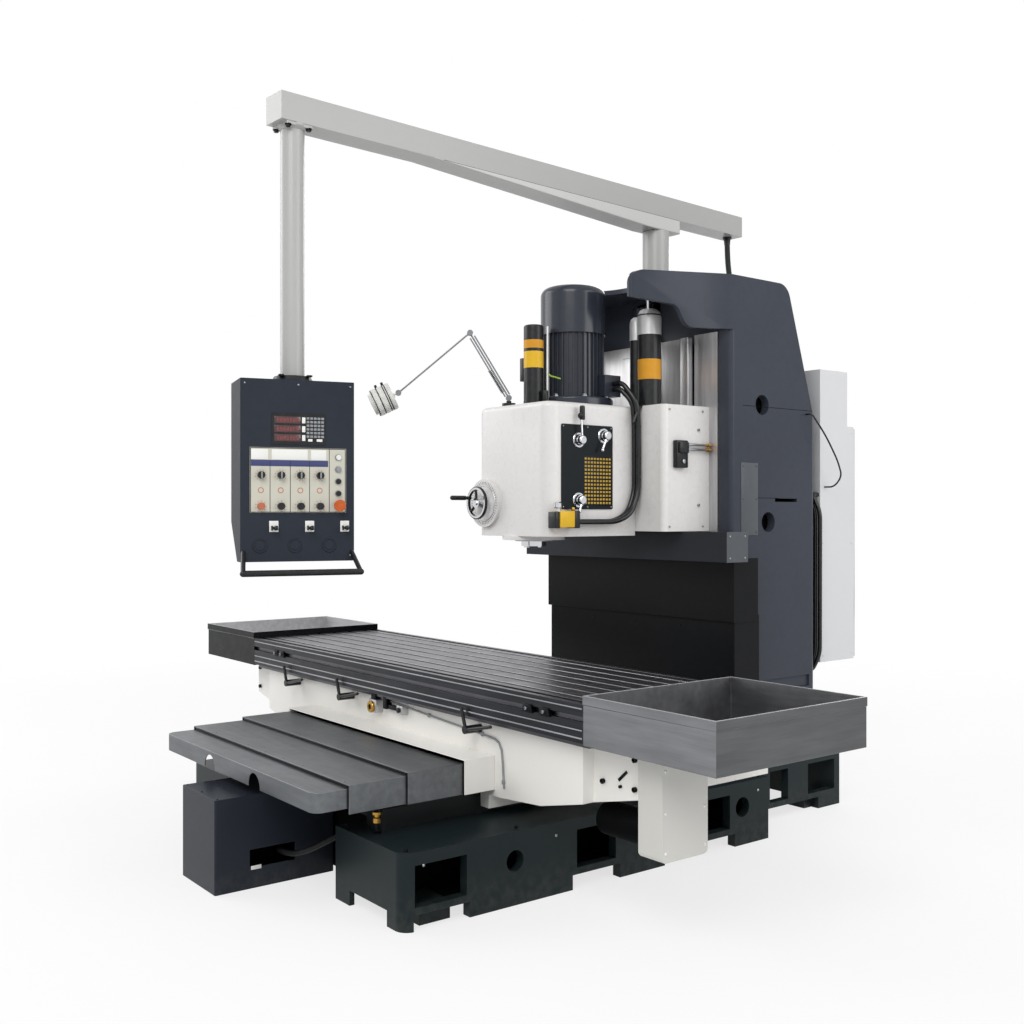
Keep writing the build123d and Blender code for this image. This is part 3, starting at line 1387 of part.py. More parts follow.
# Pivots of the three toggles below the panel
toggle_pivots = [Vector(place * toggle_pitch + toggle_shift, pendant_face - toggle_pivot, toggle_z)
                 for place in toggle_places]
lug_inner = toggle_diameter / 2 + toggle_lug_gap
lug_outer = lug_inner + toggle_lug_width
with BuildPart(pendant_plane) as pendant_box:
    with BuildSketch(pendant_side):
        with BuildLine():
            Polyline((pendant_face, pendant_top), (-pendant_face, pendant_top),
                     (-pendant_face, pendant_back_bottom), (-pendant_face - pendant_slope, pendant_bottom),
                     (pendant_face, pendant_bottom), close=True)
        make_face()
    extrude(amount=pendant_width)
    fillet(pendant_box.edges().filter_by(Axis.Z), radius=pendant_corner)
    with BuildSketch(pendant_side.offset(pendant_wall)):
        with BuildLine():
            Polyline((pendant_face + pendant_wall, pendant_top - pendant_wall),
                     (-pendant_face - pendant_wall, pendant_top - pendant_wall),
                     (-pendant_face - pendant_wall, pendant_back_bottom),
                     (-pendant_face - pendant_slope - pendant_wall, pendant_bottom + pendant_wall),
                     (pendant_face + pendant_wall, pendant_bottom + pendant_wall), close=True)
        make_face()
    extrude(amount=pendant_width - 2 * pendant_wall, mode=Mode.SUBTRACT)
    rod((0, 0, pendant_top), (0, 0, pole_bottom - part_gap), pole_diameter + 2 * pendant_collar)
    rod((0, 0, pendant_top), (0, 0, spigot_top), spigot_diameter)
    rod((0, 0, pendant_top - pendant_wall), (0, 0, spigot_top), pendant_spigot_bore, mode=Mode.SUBTRACT)
    # Handle bar below, on two side arms
    bar_y = pendant_face - handle_out
    handle_half = pendant_width / 2 + handle_spread
    for side in (-1, 1):
        handle_end = (side * handle_half, bar_y, handle_z)
        rod((side * (pendant_width / 2 - handle_root), pendant_face + handle_root,
             pendant_bottom + handle_rise),
            handle_end, handle_arm)
        with Locations(handle_end):
            Sphere(handle_bar / 2)
    rod((-handle_half, bar_y, handle_z), (handle_half, bar_y, handle_z), handle_bar)
    # Lugs that hold the toggles' pins
    for pivot in toggle_pivots:
        for side in (-1, 1):
            rod(pivot + Vector(side * lug_inner, 0, 0), pivot + Vector(side * lug_outer, 0, 0), toggle_lug)
        rod(pivot - Vector(lug_outer, 0, 0), pivot + Vector(lug_outer, 0, 0), toggle_pin + 2 * turn_gap,
            mode=Mode.SUBTRACT)
    # Hole for the stem of the stop button
    rod((stop_x, pendant_face, stop_z), (stop_x, pendant_face + stop_stem_reach, stop_z),
        stop_stem + 2 * turn_gap,
        mode=Mode.SUBTRACT)
save(pendant_box.part, "pendant_box")

# Control panel and readout plates on the pendant's face
panel_face = pendant_face - panel_thickness
with BuildPart(pendant_plane) as control_panel:
    block((-panel_width / 2, panel_width / 2), (panel_face, pendant_face), (panel_bottom, panel_top))
    block((readout_x - readout_width / 2, readout_x + readout_width / 2), (panel_face, pendant_face),
          (readout_bottom, readout_bottom + readout_height))
    # Fixed lower row of trimmers and the push buttons
    for number in range(knob_count):
        knob_x = knob_first + number * knob_pitch
        rod((knob_x, panel_face, trimmer_row), (knob_x, panel_face - knob_height, trimmer_row), knob_diameter)
    for number in range(button_count):
        button_z = panel_bottom + button_rise + number * button_pitch
        rod((stop_x, panel_face, button_z), (stop_x, panel_face - button_height, button_z), button_diameter)
    # Hole for the stem of the stop button
    rod((stop_x, panel_face, stop_z), (stop_x, pendant_face, stop_z), stop_stem + 2 * turn_gap,
        mode=Mode.SUBTRACT)
save(control_panel.part, "control_panel")


def panel_knob(x):
    """Make a round selector knob with a pointer ridge."""
    knob_face = panel_face - knob_height
    with BuildPart(pendant_plane) as knob:
        rod((x, panel_face - part_gap, knob_row), (x, knob_face, knob_row), knob_diameter)
        block((x - pointer_width / 2, x + pointer_width / 2), (knob_face - pointer_height, knob_face),
              (knob_row - pointer_length / 2, knob_row + pointer_length / 2))
    return knob.part


for number in range(knob_count):
    save(panel_knob(knob_first + number * knob_pitch), "selector_knob_" + str(number + 1))

# Mushroom stop button
with BuildPart(pendant_plane) as stop_button:
    rod((stop_x, pendant_face + stop_stem_reach, stop_z), (stop_x, panel_face - stop_cap_end, stop_z),
        stop_stem)
    rod((stop_x, panel_face - stop_cap_start, stop_z), (stop_x, panel_face - stop_cap_end, stop_z),
        stop_diameter)
    fillet(stop_button.edges().filter_by(GeomType.CIRCLE).sort_by(SortBy.LENGTH)[-1], radius=stop_round)
save(stop_button.part, "stop_button")



def toggle(pivot):
    """Make a toggle: a short bar that stands out of the face, with its cross pin."""
    tip = pivot - Vector(0, toggle_length - toggle_pivot, 0)
    with BuildPart(pendant_plane) as bar:
        rod(pivot, tip, toggle_diameter)
        rod(pivot - Vector(lug_outer, 0, 0), pivot + Vector(lug_outer, 0, 0), toggle_pin)
        with Locations(tip):
            Sphere(toggle_tip / 2)
    return bar.part


# Toggle levers below the panel
for number, pivot in enumerate(toggle_pivots, start=1):
    save(toggle(pivot), "toggle_" + str(number))

# Electrical cabinet behind the column, open at the back for its door
cabinet_inside = cabinet_half - cabinet_wall
with BuildPart() as cabinet:
    block((-cabinet_half, cabinet_half), (cabinet_front, cabinet_lower_back), (cabinet_bottom, cabinet_step))
    block((-cabinet_half, cabinet_half), (cabinet_front, cabinet_upper_back), (cabinet_step, cabinet_top))
    block((-cabinet_inside, cabinet_inside), (cabinet_front + cabinet_wall, cabinet_lower_back),
          (cabinet_bottom + cabinet_wall, cabinet_step - cabinet_wall), mode=Mode.SUBTRACT)
    block((-cabinet_inside, cabinet_inside),
          (cabinet_front + cabinet_wall, cabinet_upper_back - cabinet_wall),
          (cabinet_step - 2 * cabinet_wall, cabinet_top - cabinet_wall), mode=Mode.SUBTRACT)
    # Rails that fix it to the column
    for rail_x in (-cabinet_rail_x, cabinet_rail_x):
        block((rail_x - cabinet_rail / 2, rail_x + cabinet_rail / 2), (column_rear, cabinet_front),
              (cabinet_bottom + cabinet_rail_bottom, column_bend - cabinet_rail_top))
    # Lower half of each hinge
    for hinge_z in hinge_bottoms:
        rod((hinge_x, hinge_y, hinge_z - hinge_length), (hinge_x, hinge_y, hinge_z - part_gap), hinge_barrel)
        block((-cabinet_half - hinge_strap, -cabinet_half), (cabinet_lower_back - hinge_strap_reach, hinge_y),
              (hinge_z - hinge_length, hinge_z - part_gap))
save(cabinet.part, "cabinet")

with BuildPart() as cabinet_door:
    block((-door_half, door_half), (door_front, door_back), (door_bottom, door_top))
    block((door_sheet - door_half, door_half - door_sheet), (door_front, door_back - door_sheet),
          (door_bottom + door_sheet, door_top - door_sheet), mode=Mode.SUBTRACT)
    # Upper half of each hinge
    for hinge_z in hinge_bottoms:
        rod((hinge_x, hinge_y, hinge_z), (hinge_x, hinge_y, hinge_z + hinge_length), hinge_barrel)
        block((hinge_x, -door_half), (hinge_y - hinge_strap / 2, hinge_y + hinge_strap / 2),
              (hinge_z, hinge_z + hinge_length))
save(cabinet_door.part, "cabinet_door")

# Hoses and a lead between the column and the cabinet
with BuildPart() as cabinet_conduits:
    for hose_x in cabinet_hose_places:
        tube([(hose_x - 44, column_rear, 690), (hose_x - 44, column_rear + 46, 690),
              (hose_x, column_rear + 52, 775),
              (hose_x, column_rear + 54, 1560), (hose_x - 44, column_rear + 44, 1650),
              (hose_x - 44, cabinet_front, 1650)], cabinet_hose)
    tube([(column_half, 1330, 2079), (column_half + 40, 1330, 2079), (column_half + 62, 1420, 1965),
          (column_half + 70, 1512, 1832), (column_half + 62, 1560, 1750), (column_half + 24, 1545, 1692),
          (cabinet_half, 1545, 1692)], cabinet_lead)
save(cabinet_conduits.part, "cabinet_conduits")

# Cable from the rear of the arm down into the cabinet's roof
arm_cable_points = [(-83, 1537, arm_bottom), (-83, 1537, 3045), (-62, 1564, 2860), (-48, 1587, 2680),
                    (-38, 1584, 2500), (-38, 1584, cabinet_top)]
with BuildPart() as arm_cable:
    tube(arm_cable_points, arm_cable_diameter)
save(arm_cable.part, "arm_cable")
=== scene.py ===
"""Looks of a bed type milling machine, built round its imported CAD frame."""

import logging
import math
from collections.abc import Iterable, Sequence
from dataclasses import dataclass
from enum import Enum
from functools import cache

import bmesh
import bpy
from mathutils import Matrix, Vector


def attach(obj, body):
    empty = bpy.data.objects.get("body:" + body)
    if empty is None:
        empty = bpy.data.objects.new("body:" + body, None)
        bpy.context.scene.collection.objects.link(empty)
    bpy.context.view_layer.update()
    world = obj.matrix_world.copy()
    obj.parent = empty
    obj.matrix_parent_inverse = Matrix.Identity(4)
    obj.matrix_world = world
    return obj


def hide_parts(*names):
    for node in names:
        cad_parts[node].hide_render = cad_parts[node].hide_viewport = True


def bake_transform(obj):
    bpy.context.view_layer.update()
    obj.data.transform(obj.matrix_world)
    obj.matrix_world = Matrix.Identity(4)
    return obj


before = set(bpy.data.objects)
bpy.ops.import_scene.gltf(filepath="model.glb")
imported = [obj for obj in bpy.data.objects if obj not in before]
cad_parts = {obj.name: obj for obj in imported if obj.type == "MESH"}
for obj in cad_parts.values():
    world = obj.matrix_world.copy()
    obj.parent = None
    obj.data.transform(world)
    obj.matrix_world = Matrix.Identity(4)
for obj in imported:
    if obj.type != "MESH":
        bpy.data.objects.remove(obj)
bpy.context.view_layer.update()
log = logging.getLogger("milling_machine")

MM = 0.001
MERGE_DISTANCE = 0.01 * MM
FLAT_ANGLE = math.radians(0.6)
PRISM_ANGLE = math.radians(25)
BEVEL_ANGLE = math.radians(28)
SHARP_ANGLE = math.radians(32)
HEAD_WIDTH = 10
Point = tuple[float, float, float]
Outline = Sequence[tuple[float, float]]
UP: Point = (0, 0, 1)
FORWARD: Point = (0, -1, 0)


# Node trees

class Tree:
    """A node tree, with the one method that adds its nodes."""

    def __init__(self, tree: bpy.types.NodeTree) -> None:
        """Wrap a node tree."""
        self.tree = tree

    def node(self, kind: str, settings: dict | None = None, inputs: dict | None = None) -> bpy.types.Node:
        """Add a node.

        Args:
            kind: The node's type.
            settings: Its own settings, set before its sockets.
            inputs: Values or links of its sockets, by name or number.

        Returns:
            The new node.
        """
        made = self.tree.nodes.new(kind)
        for key, value in (settings or {}).items():
            setattr(made, key, value)
        for key, value in (inputs or {}).items():
            self.feed(made.inputs[key], value)
        return made

    def feed(self, socket: bpy.types.NodeSocket, value: object) -> None:
        """Link a socket to a signal or another socket, or set its value.

        Args:
            socket: The input to feed.
            value: A signal, an output socket or a plain value.
        """
        if isinstance(value, Signal):
            value = value.socket
        if isinstance(value, bpy.types.NodeSocket):
            self.tree.links.new(value, socket)
        else:
            socket.default_value = value


class Signal:
    """A number on a socket; arithmetic on it adds Math nodes."""

    def __init__(self, tree: Tree, socket: bpy.types.NodeSocket) -> None:
        """Wrap one output socket of a tree."""
        self.tree, self.socket = tree, socket

    def math(self, operation: str, *terms: "Signal | float") -> "Signal":
        """Add one Math node.

        Args:
            operation: The node's operation.
            terms: Its inputs in order.

        Returns:
            The result as a signal.
        """
        made = self.tree.node("ShaderNodeMath", {"operation": operation}, dict(enumerate(terms)))
        return Signal(self.tree, made.outputs[0])

    def __add__(self, other: "Signal | float") -> "Signal":
        """Add."""
        return self.math("ADD", self, other)

    def __radd__(self, other: float) -> "Signal":
        """Add to a number."""
        return self.math("ADD", other, self)

    def __sub__(self, other: "Signal | float") -> "Signal":
        """Subtract."""
        return self.math("SUBTRACT", self, other)

    def __rsub__(self, other: float) -> "Signal":
        """Subtract from a number."""
        return self.math("SUBTRACT", other, self)

    def __mul__(self, other: "Signal | float") -> "Signal":
        """Multiply."""
        return self.math("MULTIPLY", self, other)

    def __rmul__(self, other: float) -> "Signal":
        """Multiply a number."""
        return self.math("MULTIPLY", other, self)

    def __truediv__(self, other: "Signal | float") -> "Signal":
        """Divide."""
        return self.math("DIVIDE", self, other)

    def __pow__(self, other: float) -> "Signal":
        """Raise to a power."""
        return self.math("POWER", self, other)

    def sine(self) -> "Signal":
        """Take the sine."""
        return self.math("SINE", self)

    def step(self, low: float, high: float) -> "Signal":
        """Rise smoothly from 0 at low to 1 at high."""
        made = self.tree.node("ShaderNodeMapRange", {"interpolation_type": "SMOOTHSTEP"},
                              {0: self, 1: low, 2: high, 3: 0.0, 4: 1.0})
        return Signal(self.tree, made.outputs[0])


def linear(code: str, gain: float = 1.0) -> tuple[float, float, float, float]:
    """Turn a hexadecimal screen colour into linear light.

    Args:
        code: Six hexadecimal digits.
        gain: A factor on the linear values.

    Returns:
        Red, green, blue and alpha.
    """
    values = (int(code[i:i + 2], 16) / 255 for i in (0, 2, 4))
    light = [v / 12.92 if v <= 0.04045 else ((v + 0.055) / 1.055) ** 2.4 for v in values]
    return (*(min(1.0, v * gain) for v in light), 1.0)


class Graph(Tree):
    """The shader of one material, on Object coordinates in metres."""

    def __init__(self, material: bpy.types.Material) -> None:
        """Start from the material's own Principled shader."""
        material.use_nodes = True
        super().__init__(material.node_tree)
        self.shader = self.tree.nodes["Principled BSDF"]
        self.place = self.node("ShaderNodeTexCoord").outputs["Object"]

    def set(self, **values: object) -> None:
        """Feed the shader's sockets, named with underscores for spaces."""
        for key, value in values.items():
            self.feed(self.shader.inputs[key.replace("_", " ")], value)

    def axis(self, letter: str) -> Signal:
        """Give one Object coordinate as a signal."""
        return Signal(self, self.node("ShaderNodeSeparateXYZ", {}, {0: self.place}).outputs[letter])

    def noise(self, scale: float, detail: float = 2.0, stretch: Point = (1, 1, 1)) -> Signal:
        """Add a noise on Object coordinates.

        Args:
            scale: Waves per metre.
            detail: Octaves.
            stretch: Factor on each axis.

        Returns:
            The noise, about 0 to 1.
        """
        vector = self.place
        if stretch != (1, 1, 1):
            vector = self.node("ShaderNodeMapping", {}, {0: vector, 3: stretch}).outputs[0]
        made = self.node("ShaderNodeTexNoise", {}, {0: vector, "Scale": scale, "Detail": detail})
        return Signal(self, made.outputs[0])

    def mix(self, share: Signal, first: object, second: object) -> bpy.types.NodeSocket:
        """Mix two colours.

        Args:
            share: How much of the second.
            first: A colour or socket.
            second: A colour or socket.

        Returns:
            The mixed colour's socket.
        """
        made = self.node("ShaderNodeMix", {"data_type": "RGBA"}, {0: share, 6: first, 7: second})
        return made.outputs[2]

    def relief(self, height: Signal, depth: float, strength: float = 1.0) -> None:
        """Raise the surface by a height times a depth in metres."""
        made = self.node("ShaderNodeBump", {}, {"Strength": strength, "Distance": depth, "Height": height})
        self.set(Normal=made.outputs[0])


# Finishes

class Grain(Enum):
    """Which way a metal was brushed or ground: waves across each axis."""

    ALONG_X = (1, 60, 60)
    ALONG_Y = (60, 1, 60)
    ALONG_Z = (60, 60, 1)
    ROUND = (9, 9, 60)


@dataclass(frozen=True)
class Finish:
    """A surface finish.

    Attributes:
        name: Name of its material.
        colour: Screen colour in hexadecimal.
        roughness: Middle roughness.
    """

    name: str
    colour: str
    roughness: float

    @cache
    def material(self) -> bpy.types.Material:
        """Make the material once and return it."""
        made = bpy.data.materials.new(self.name)
        made.diffuse_color = linear(self.colour)
        self.shade(Graph(made))
        return made

    def shade(self, graph: Graph) -> None:
        """Build the shader; each kind of finish has its own."""
        raise NotImplementedError


@dataclass(frozen=True)
class Paint(Finish):
    """Sprayed enamel on castings and sheet.

    Attributes:
        gloss: How strongly it mirrors its surroundings.
        cast: Depth of the slow waves of a casting in metres.
        mottle: Change of shade over a metre.
        dust: Height above the floor, in metres, that dust reaches.
    """

    gloss: float = 0.12
    cast: float = 0.00003
    mottle: float = 0.08
    dust: float = 0.0

    def shade(self, graph: Graph) -> None:
        """Build the shader."""
        cloud, blot = graph.noise(1.7, 3), graph.noise(26, 5)
        shade = (cloud * 0.7 + blot * 0.3).step(0.3, 0.7)
        tone = graph.mix(shade, linear(self.colour, 1 - self.mottle), linear(self.colour, 1 + self.mottle))
        rough = self.roughness + (blot - 0.5) * 0.1
        if self.dust:
            low = 1 - (graph.axis("Z") + (cloud - 0.5) * 0.12).step(0.0, self.dust)
            settled = low * blot.step(0.3, 0.75) * 0.12
            tone = graph.mix(settled, tone, linear("77746e"))
            rough = rough + settled * 0.3
        graph.set(Base_Color=tone, Roughness=rough, Specular_IOR_Level=self.gloss,
                  Coat_Weight=self.gloss * 0.3, Coat_Roughness=0.15)
        graph.relief(graph.noise(30, 2), self.cast)


@dataclass(frozen=True)
class Metal(Finish):
    """Bare or plated metal.

    Attributes:
        grain: Which way it was brushed or ground.
        streak: How much the brushing shows.
        smear: How much old oil and handling show.
        metallic: How metallic it is.
    """

    grain: Grain = Grain.ALONG_X
    streak: float = 0.3
    smear: float = 0.25
    metallic: float = 1.0

    def shade(self, graph: Graph) -> None:
        """Build the shader."""
        lines = graph.noise(9, 4, self.grain.value)
        bands = graph.noise(3, 3, tuple(waves ** 0.6 for waves in self.grain.value))
        blot, cloud = graph.noise(14, 5), graph.noise(2.3, 3)
        mark = ((lines + bands * 1.5 - 1.25) * self.streak + (cloud - 0.5) * self.smear + 0.5).step(0.2, 0.8)
        tone = graph.mix(mark, linear(self.colour, 0.7), linear(self.colour, 1.25))
        rough = self.roughness + (lines - 0.5) * self.streak * 0.5 + (blot - 0.5) * self.smear * 0.6
        graph.set(Base_Color=tone, Roughness=rough, Metallic=self.metallic)
        graph.relief(lines, 0.00008 * (1 + self.streak * 4), 0.5)


@dataclass(frozen=True)
class Thread(Metal):
    """A feed screw's helical groove.

    Attributes:
        lead: Advance of one turn in metres.
        centre: Object coordinates of a point on the axis.
        order: The two coordinates across the axis, then the one along it.
    """

    lead: float = 0.012
    centre: Point = (0, 0, 0)
    order: str = "YZX"

    def shade(self, graph: Graph) -> None:
        """Build the shader."""
        across, up, along = (graph.axis(letter) - self.centre["XYZ".index(letter)] for letter in self.order)
        turn = along.math("ARCTAN2", up, across)
        wave = (along * (2 * math.pi / self.lead) - turn).sine()
        groove = wave.step(-0.75, -0.2)
        # The groove's bottom is painted dark as shade.
        tone = graph.mix(groove, linear(self.colour, 0.35), linear(self.colour, 1.1))
        graph.set(Base_Color=tone, Roughness=self.roughness + (graph.noise(40, 3) - 0.5) * 0.2,
                  Metallic=self.metallic)
        graph.relief(groove, 0.0018)


def screw_steel(axis: str, centre: Point, order: str) -> Thread:
    """Give the finish of the ball screw of one axis."""
    return Thread(f"{axis}_screw_steel", "a9abad", 0.22, centre=centre, order=order)


@dataclass(frozen=True)
class Polymer(Finish):
    """Moulded plastic or rubber.

    Attributes:
        grain: Depth of its moulded texture in metres.
        bloom: How much pale bloom and finger marks show.
        coat: Weight of a clear gloss.
    """

    grain: float = 0.0001
    bloom: float = 0.2
    coat: float = 0.0

    def shade(self, graph: Graph) -> None:
        """Build the shader."""
        blot, fine = graph.noise(38, 5), graph.noise(300, 2)
        tone = graph.mix(blot.step(0.35, 0.75), linear(self.colour, 1 - self.bloom),
                         linear(self.colour, 1 + self.bloom * 1.5))
        graph.set(Base_Color=tone, Roughness=self.roughness + (blot - 0.5) * 0.25, Specular_IOR_Level=0.25,
                  Coat_Weight=self.coat)
        graph.relief(fine, self.grain)


@dataclass(frozen=True)
class Display(Finish):
    """A tinted window with a faint glow behind it.

    Attributes:
        glow: Strength of the glow.
    """

    glow: float = 0.05

    def shade(self, graph: Graph) -> None:
        """Build the shader."""
        blot = graph.noise(120, 4)
        tone = graph.mix(blot.step(0.3, 0.8), linear(self.colour, 0.75), linear(self.colour, 1.35))
        graph.set(Base_Color=tone, Roughness=self.roughness + (blot - 0.5) * 0.12,
                  Emission_Color=tone, Emission_Strength=self.glow, Coat_Weight=0.5)


CHARCOAL = Paint("column_enamel", "3a3e47", 0.30, dust=0.35)
BED_GREY = Paint("bed_enamel", "1b2426", 0.36, cast=0.00004, mottle=0.04, dust=0.2)
TANK_GREY = Paint("tank_enamel", "242931", 0.34, mottle=0.04, dust=0.12)
HEAD_WHITE = Paint("head_enamel", "dddbd9", 0.28, gloss=0.3, cast=0.00001, mottle=0.006)
SADDLE_WHITE = Paint("saddle_enamel", "edebe6", 0.33, gloss=0.3, cast=0.00001, mottle=0.006)
# A darker copy of the saddle's white enamel: painted shade on the feed drive housing.
DRIVE_WHITE_SHADED = Paint("drive_enamel_painted_shade", "cbcac5", 0.33, gloss=0.3, cast=0.00001, mottle=0.006)
ARM_GREY = Paint("arm_enamel", "a9a9a7", 0.30, gloss=0.3, cast=0.00001, mottle=0.01)
# A lighter copy of the arm's grey enamel: painted light on the gusset plates under the beam.
GUSSET_GREY_LIT = Paint("arm_gusset", "c3c3c1", 0.30, gloss=0.3, cast=0.00001, mottle=0.01)
CABINET_GREY = Paint("cabinet_enamel", "d0d1d3", 0.34, gloss=0.3, cast=0.00001, mottle=0.01)
# Black guard paint, darkened further as painted shade for the shadow the machine casts on the guards.
GUARD_PAINT_WITH_SHADE = Paint("guard_black_with_painted_shade", "131416", 0.33, gloss=0.08, mottle=0.14)
APRON_SLATE = Paint("apron_enamel", "2c2e34", 0.34, mottle=0.1)
MOTOR_BLUE = Paint("motor_enamel", "2d313a", 0.22, gloss=0.3)
PENDANT_GREY = Paint("pendant_enamel", "31353d", 0.4, gloss=0.03, cast=0.00002)
ORANGE = Paint("orange_label", "cd922f", 0.4)
YELLOW = Paint("yellow_enamel", "d8ad2a", 0.34, gloss=0.2)
LABEL_WHITE = Paint("label_white", "e4e4e0", 0.45, mottle=0.03)
STRIP_BLUE = Paint("strip_blue", "454a72", 0.42, mottle=0.06)
CREAM = Paint("panel_cream", "c4c2b5", 0.45, mottle=0.03)
BRICK = Paint("brick_print", "b06a52", 0.5, mottle=0.1)
CHART = Paint("chart_print", "b5953f", 0.5, mottle=0.3)
CHART_DARK = Paint("chart_ground", "12181b", 0.36, mottle=0.12)
CHART_GROUND = Paint("chart_sheet", "16181b", 0.45, mottle=0.2)
SIDE_PLATE = Paint("side_plate", "565a5e", 0.38)
# Near-black paint: painted shade inside the bed, in the column holes, in the door recesses and on the feed motor under
# the saddle; it also draws the dark seam lines.
SHADE_AND_SEAM_BLACK = Paint("inside_shadow", "0b0c0d", 0.7, gloss=0.02, mottle=0.2)
COVER_STEEL = Metal("cover_steel", "6e7174", 0.42, Grain.ALONG_X, streak=0.3, smear=0.3)
TRAY_STEEL = Metal("tray_steel", "848588", 0.42, Grain.ALONG_X, streak=0.3, smear=0.3)
# Copies of the tray steel for light and shade: a lighter one painted as light on the rims and inside the left tray, a
# darker one painted as shade on the right tray's end face, and a dark one painted as shade on the left tray's outside.
TRAY_PAINTED_LIGHT = Metal("tray_painted_light", "bcbcbe", 0.5, Grain.ALONG_X, streak=0.3, smear=0.4, metallic=0.4)
TRAY_END_PAINTED_SHADE = Metal("tray_end_painted_shade", "606163", 0.42, Grain.ALONG_Y, streak=0.3, smear=0.3)
TRAY_PAINTED_SHADE = Metal("tray_painted_shade", "1d1e20", 0.42, Grain.ALONG_X, streak=0.3, smear=0.3)
TRAY_OIL = Metal("tray_oiled", "3a3833", 0.30, Grain.ALONG_X, streak=0.2, smear=0.9)
TABLE_STEEL = Metal("table_ground", "5b5a5f", 0.34, Grain.ALONG_X, streak=0.42, smear=0.3)
# A darker copy of the table steel: painted shade on the table's front face.
TABLE_SIDE_SHADED = Metal("table_side_painted_shade", "37383b", 0.40, Grain.ALONG_X, streak=0.4, smear=0.4)
# Lighter steel: painted highlight on the upper walls of the table slots; it also colours the strips on the table's
# front.
SLOT_HIGHLIGHT_AND_STRIPS = Metal("slot_highlight_and_strips", "a4a4a8", 0.30, Grain.ALONG_X, streak=0.3, smear=0.3)
WAY_STEEL = Metal("way_ground", "b9b8ba", 0.36, Grain.ALONG_Z, streak=0.3, smear=0.25, metallic=0.7)
# Dark way steel: painted shade on the ways under the saddle and the table.
SHADED_WAYS = Metal("ways_painted_shade", "232527", 0.42, Grain.ALONG_Y, streak=0.3, smear=0.4, metallic=0.6)
SHEET_STEEL = Metal("way_sheet", "b4b3b4", 0.34, Grain.ALONG_Z, streak=0.25, smear=0.3, metallic=0.65)
DOME_STEEL = Metal("dome_steel", "c2c2c3", 0.36, Grain.ROUND, streak=0.08, smear=0.1, metallic=0.3)
LAMP_ARM = Paint("lamp_arm", "85888b", 0.4, gloss=0.2, mottle=0.03)
CHROME = Metal("chrome", "cfd1d4", 0.12, Grain.ROUND, streak=0.06, smear=0.12)
BOLT_STEEL = Metal("bolt_steel", "9a9c9f", 0.32, Grain.ROUND, streak=0.2, smear=0.25)
BLACK_OXIDE = Metal("black_oxide", "232427", 0.42, Grain.ROUND, streak=0.2, smear=0.3)
BRASS = Metal("brass", "b98f45", 0.28, Grain.ROUND, streak=0.15, smear=0.3)
ALUMINIUM = Metal("satin_aluminium", "b9babb", 0.36, Grain.ROUND, streak=0.1, smear=0.12, metallic=0.6)
RUBBER = Polymer("black_rubber", "18191b", 0.52, grain=0.0002, bloom=0.3)
PLASTIC = Polymer("black_plastic", "1b1c1e", 0.38, grain=0.00012, bloom=0.25, coat=0.1)
CONDUIT = Polymer("conduit", "131416", 0.30, grain=0.0001, bloom=0.3, coat=0.3)
GREY_PLASTIC = Polymer("grey_plastic", "8c8f92", 0.42, bloom=0.08)
WHITE_PLASTIC = Polymer("white_plastic", "dedfdc", 0.40, bloom=0.05)
STOP_RED = Polymer("stop_orange", "bb561d", 0.33, bloom=0.12, coat=0.3)
GREEN_PLASTIC = Polymer("green_lead", "8fae3b", 0.45, bloom=0.1)
LAMP_WHITE = Polymer("lamp_white", "dcdcd8", 0.36, bloom=0.06)
LENS = Polymer("lamp_lens", "e6e6e0", 0.2, grain=0.0004, bloom=0.08, coat=0.6)
RED_WINDOW = Display("red_window", "3a1d1f", 0.18, glow=0.25)
RED_DIGIT = Display("red_digit", "8a2c2e", 0.3, glow=0.5)


# Mesh making

class Axis(Enum):
    """An axis that a shape is pulled or pressed along, and the two that cross it."""

    X = (0, 1, 2)
    Y = (1, 0, 2)


def frame_at(origin: Point, up: Point, across: Point = (1, 0, 0)) -> Matrix:
    """Make a local frame in millimetres.

    Args:
        origin: Where its origin is.
        up: Which way its z axis points.
        across: Roughly which way its x axis points.

    Returns:
        The matrix from local to shared millimetres.
    """
    z = Vector(up).normalized()
    x = Vector(across)
    if abs(x.normalized().dot(z)) > 0.99:
        x = Vector((0, 1, 0))
    x = (x - z * x.dot(z)).normalized()
    return Matrix.Translation(origin) @ Matrix((x, z.cross(x), z)).transposed().to_4x4()


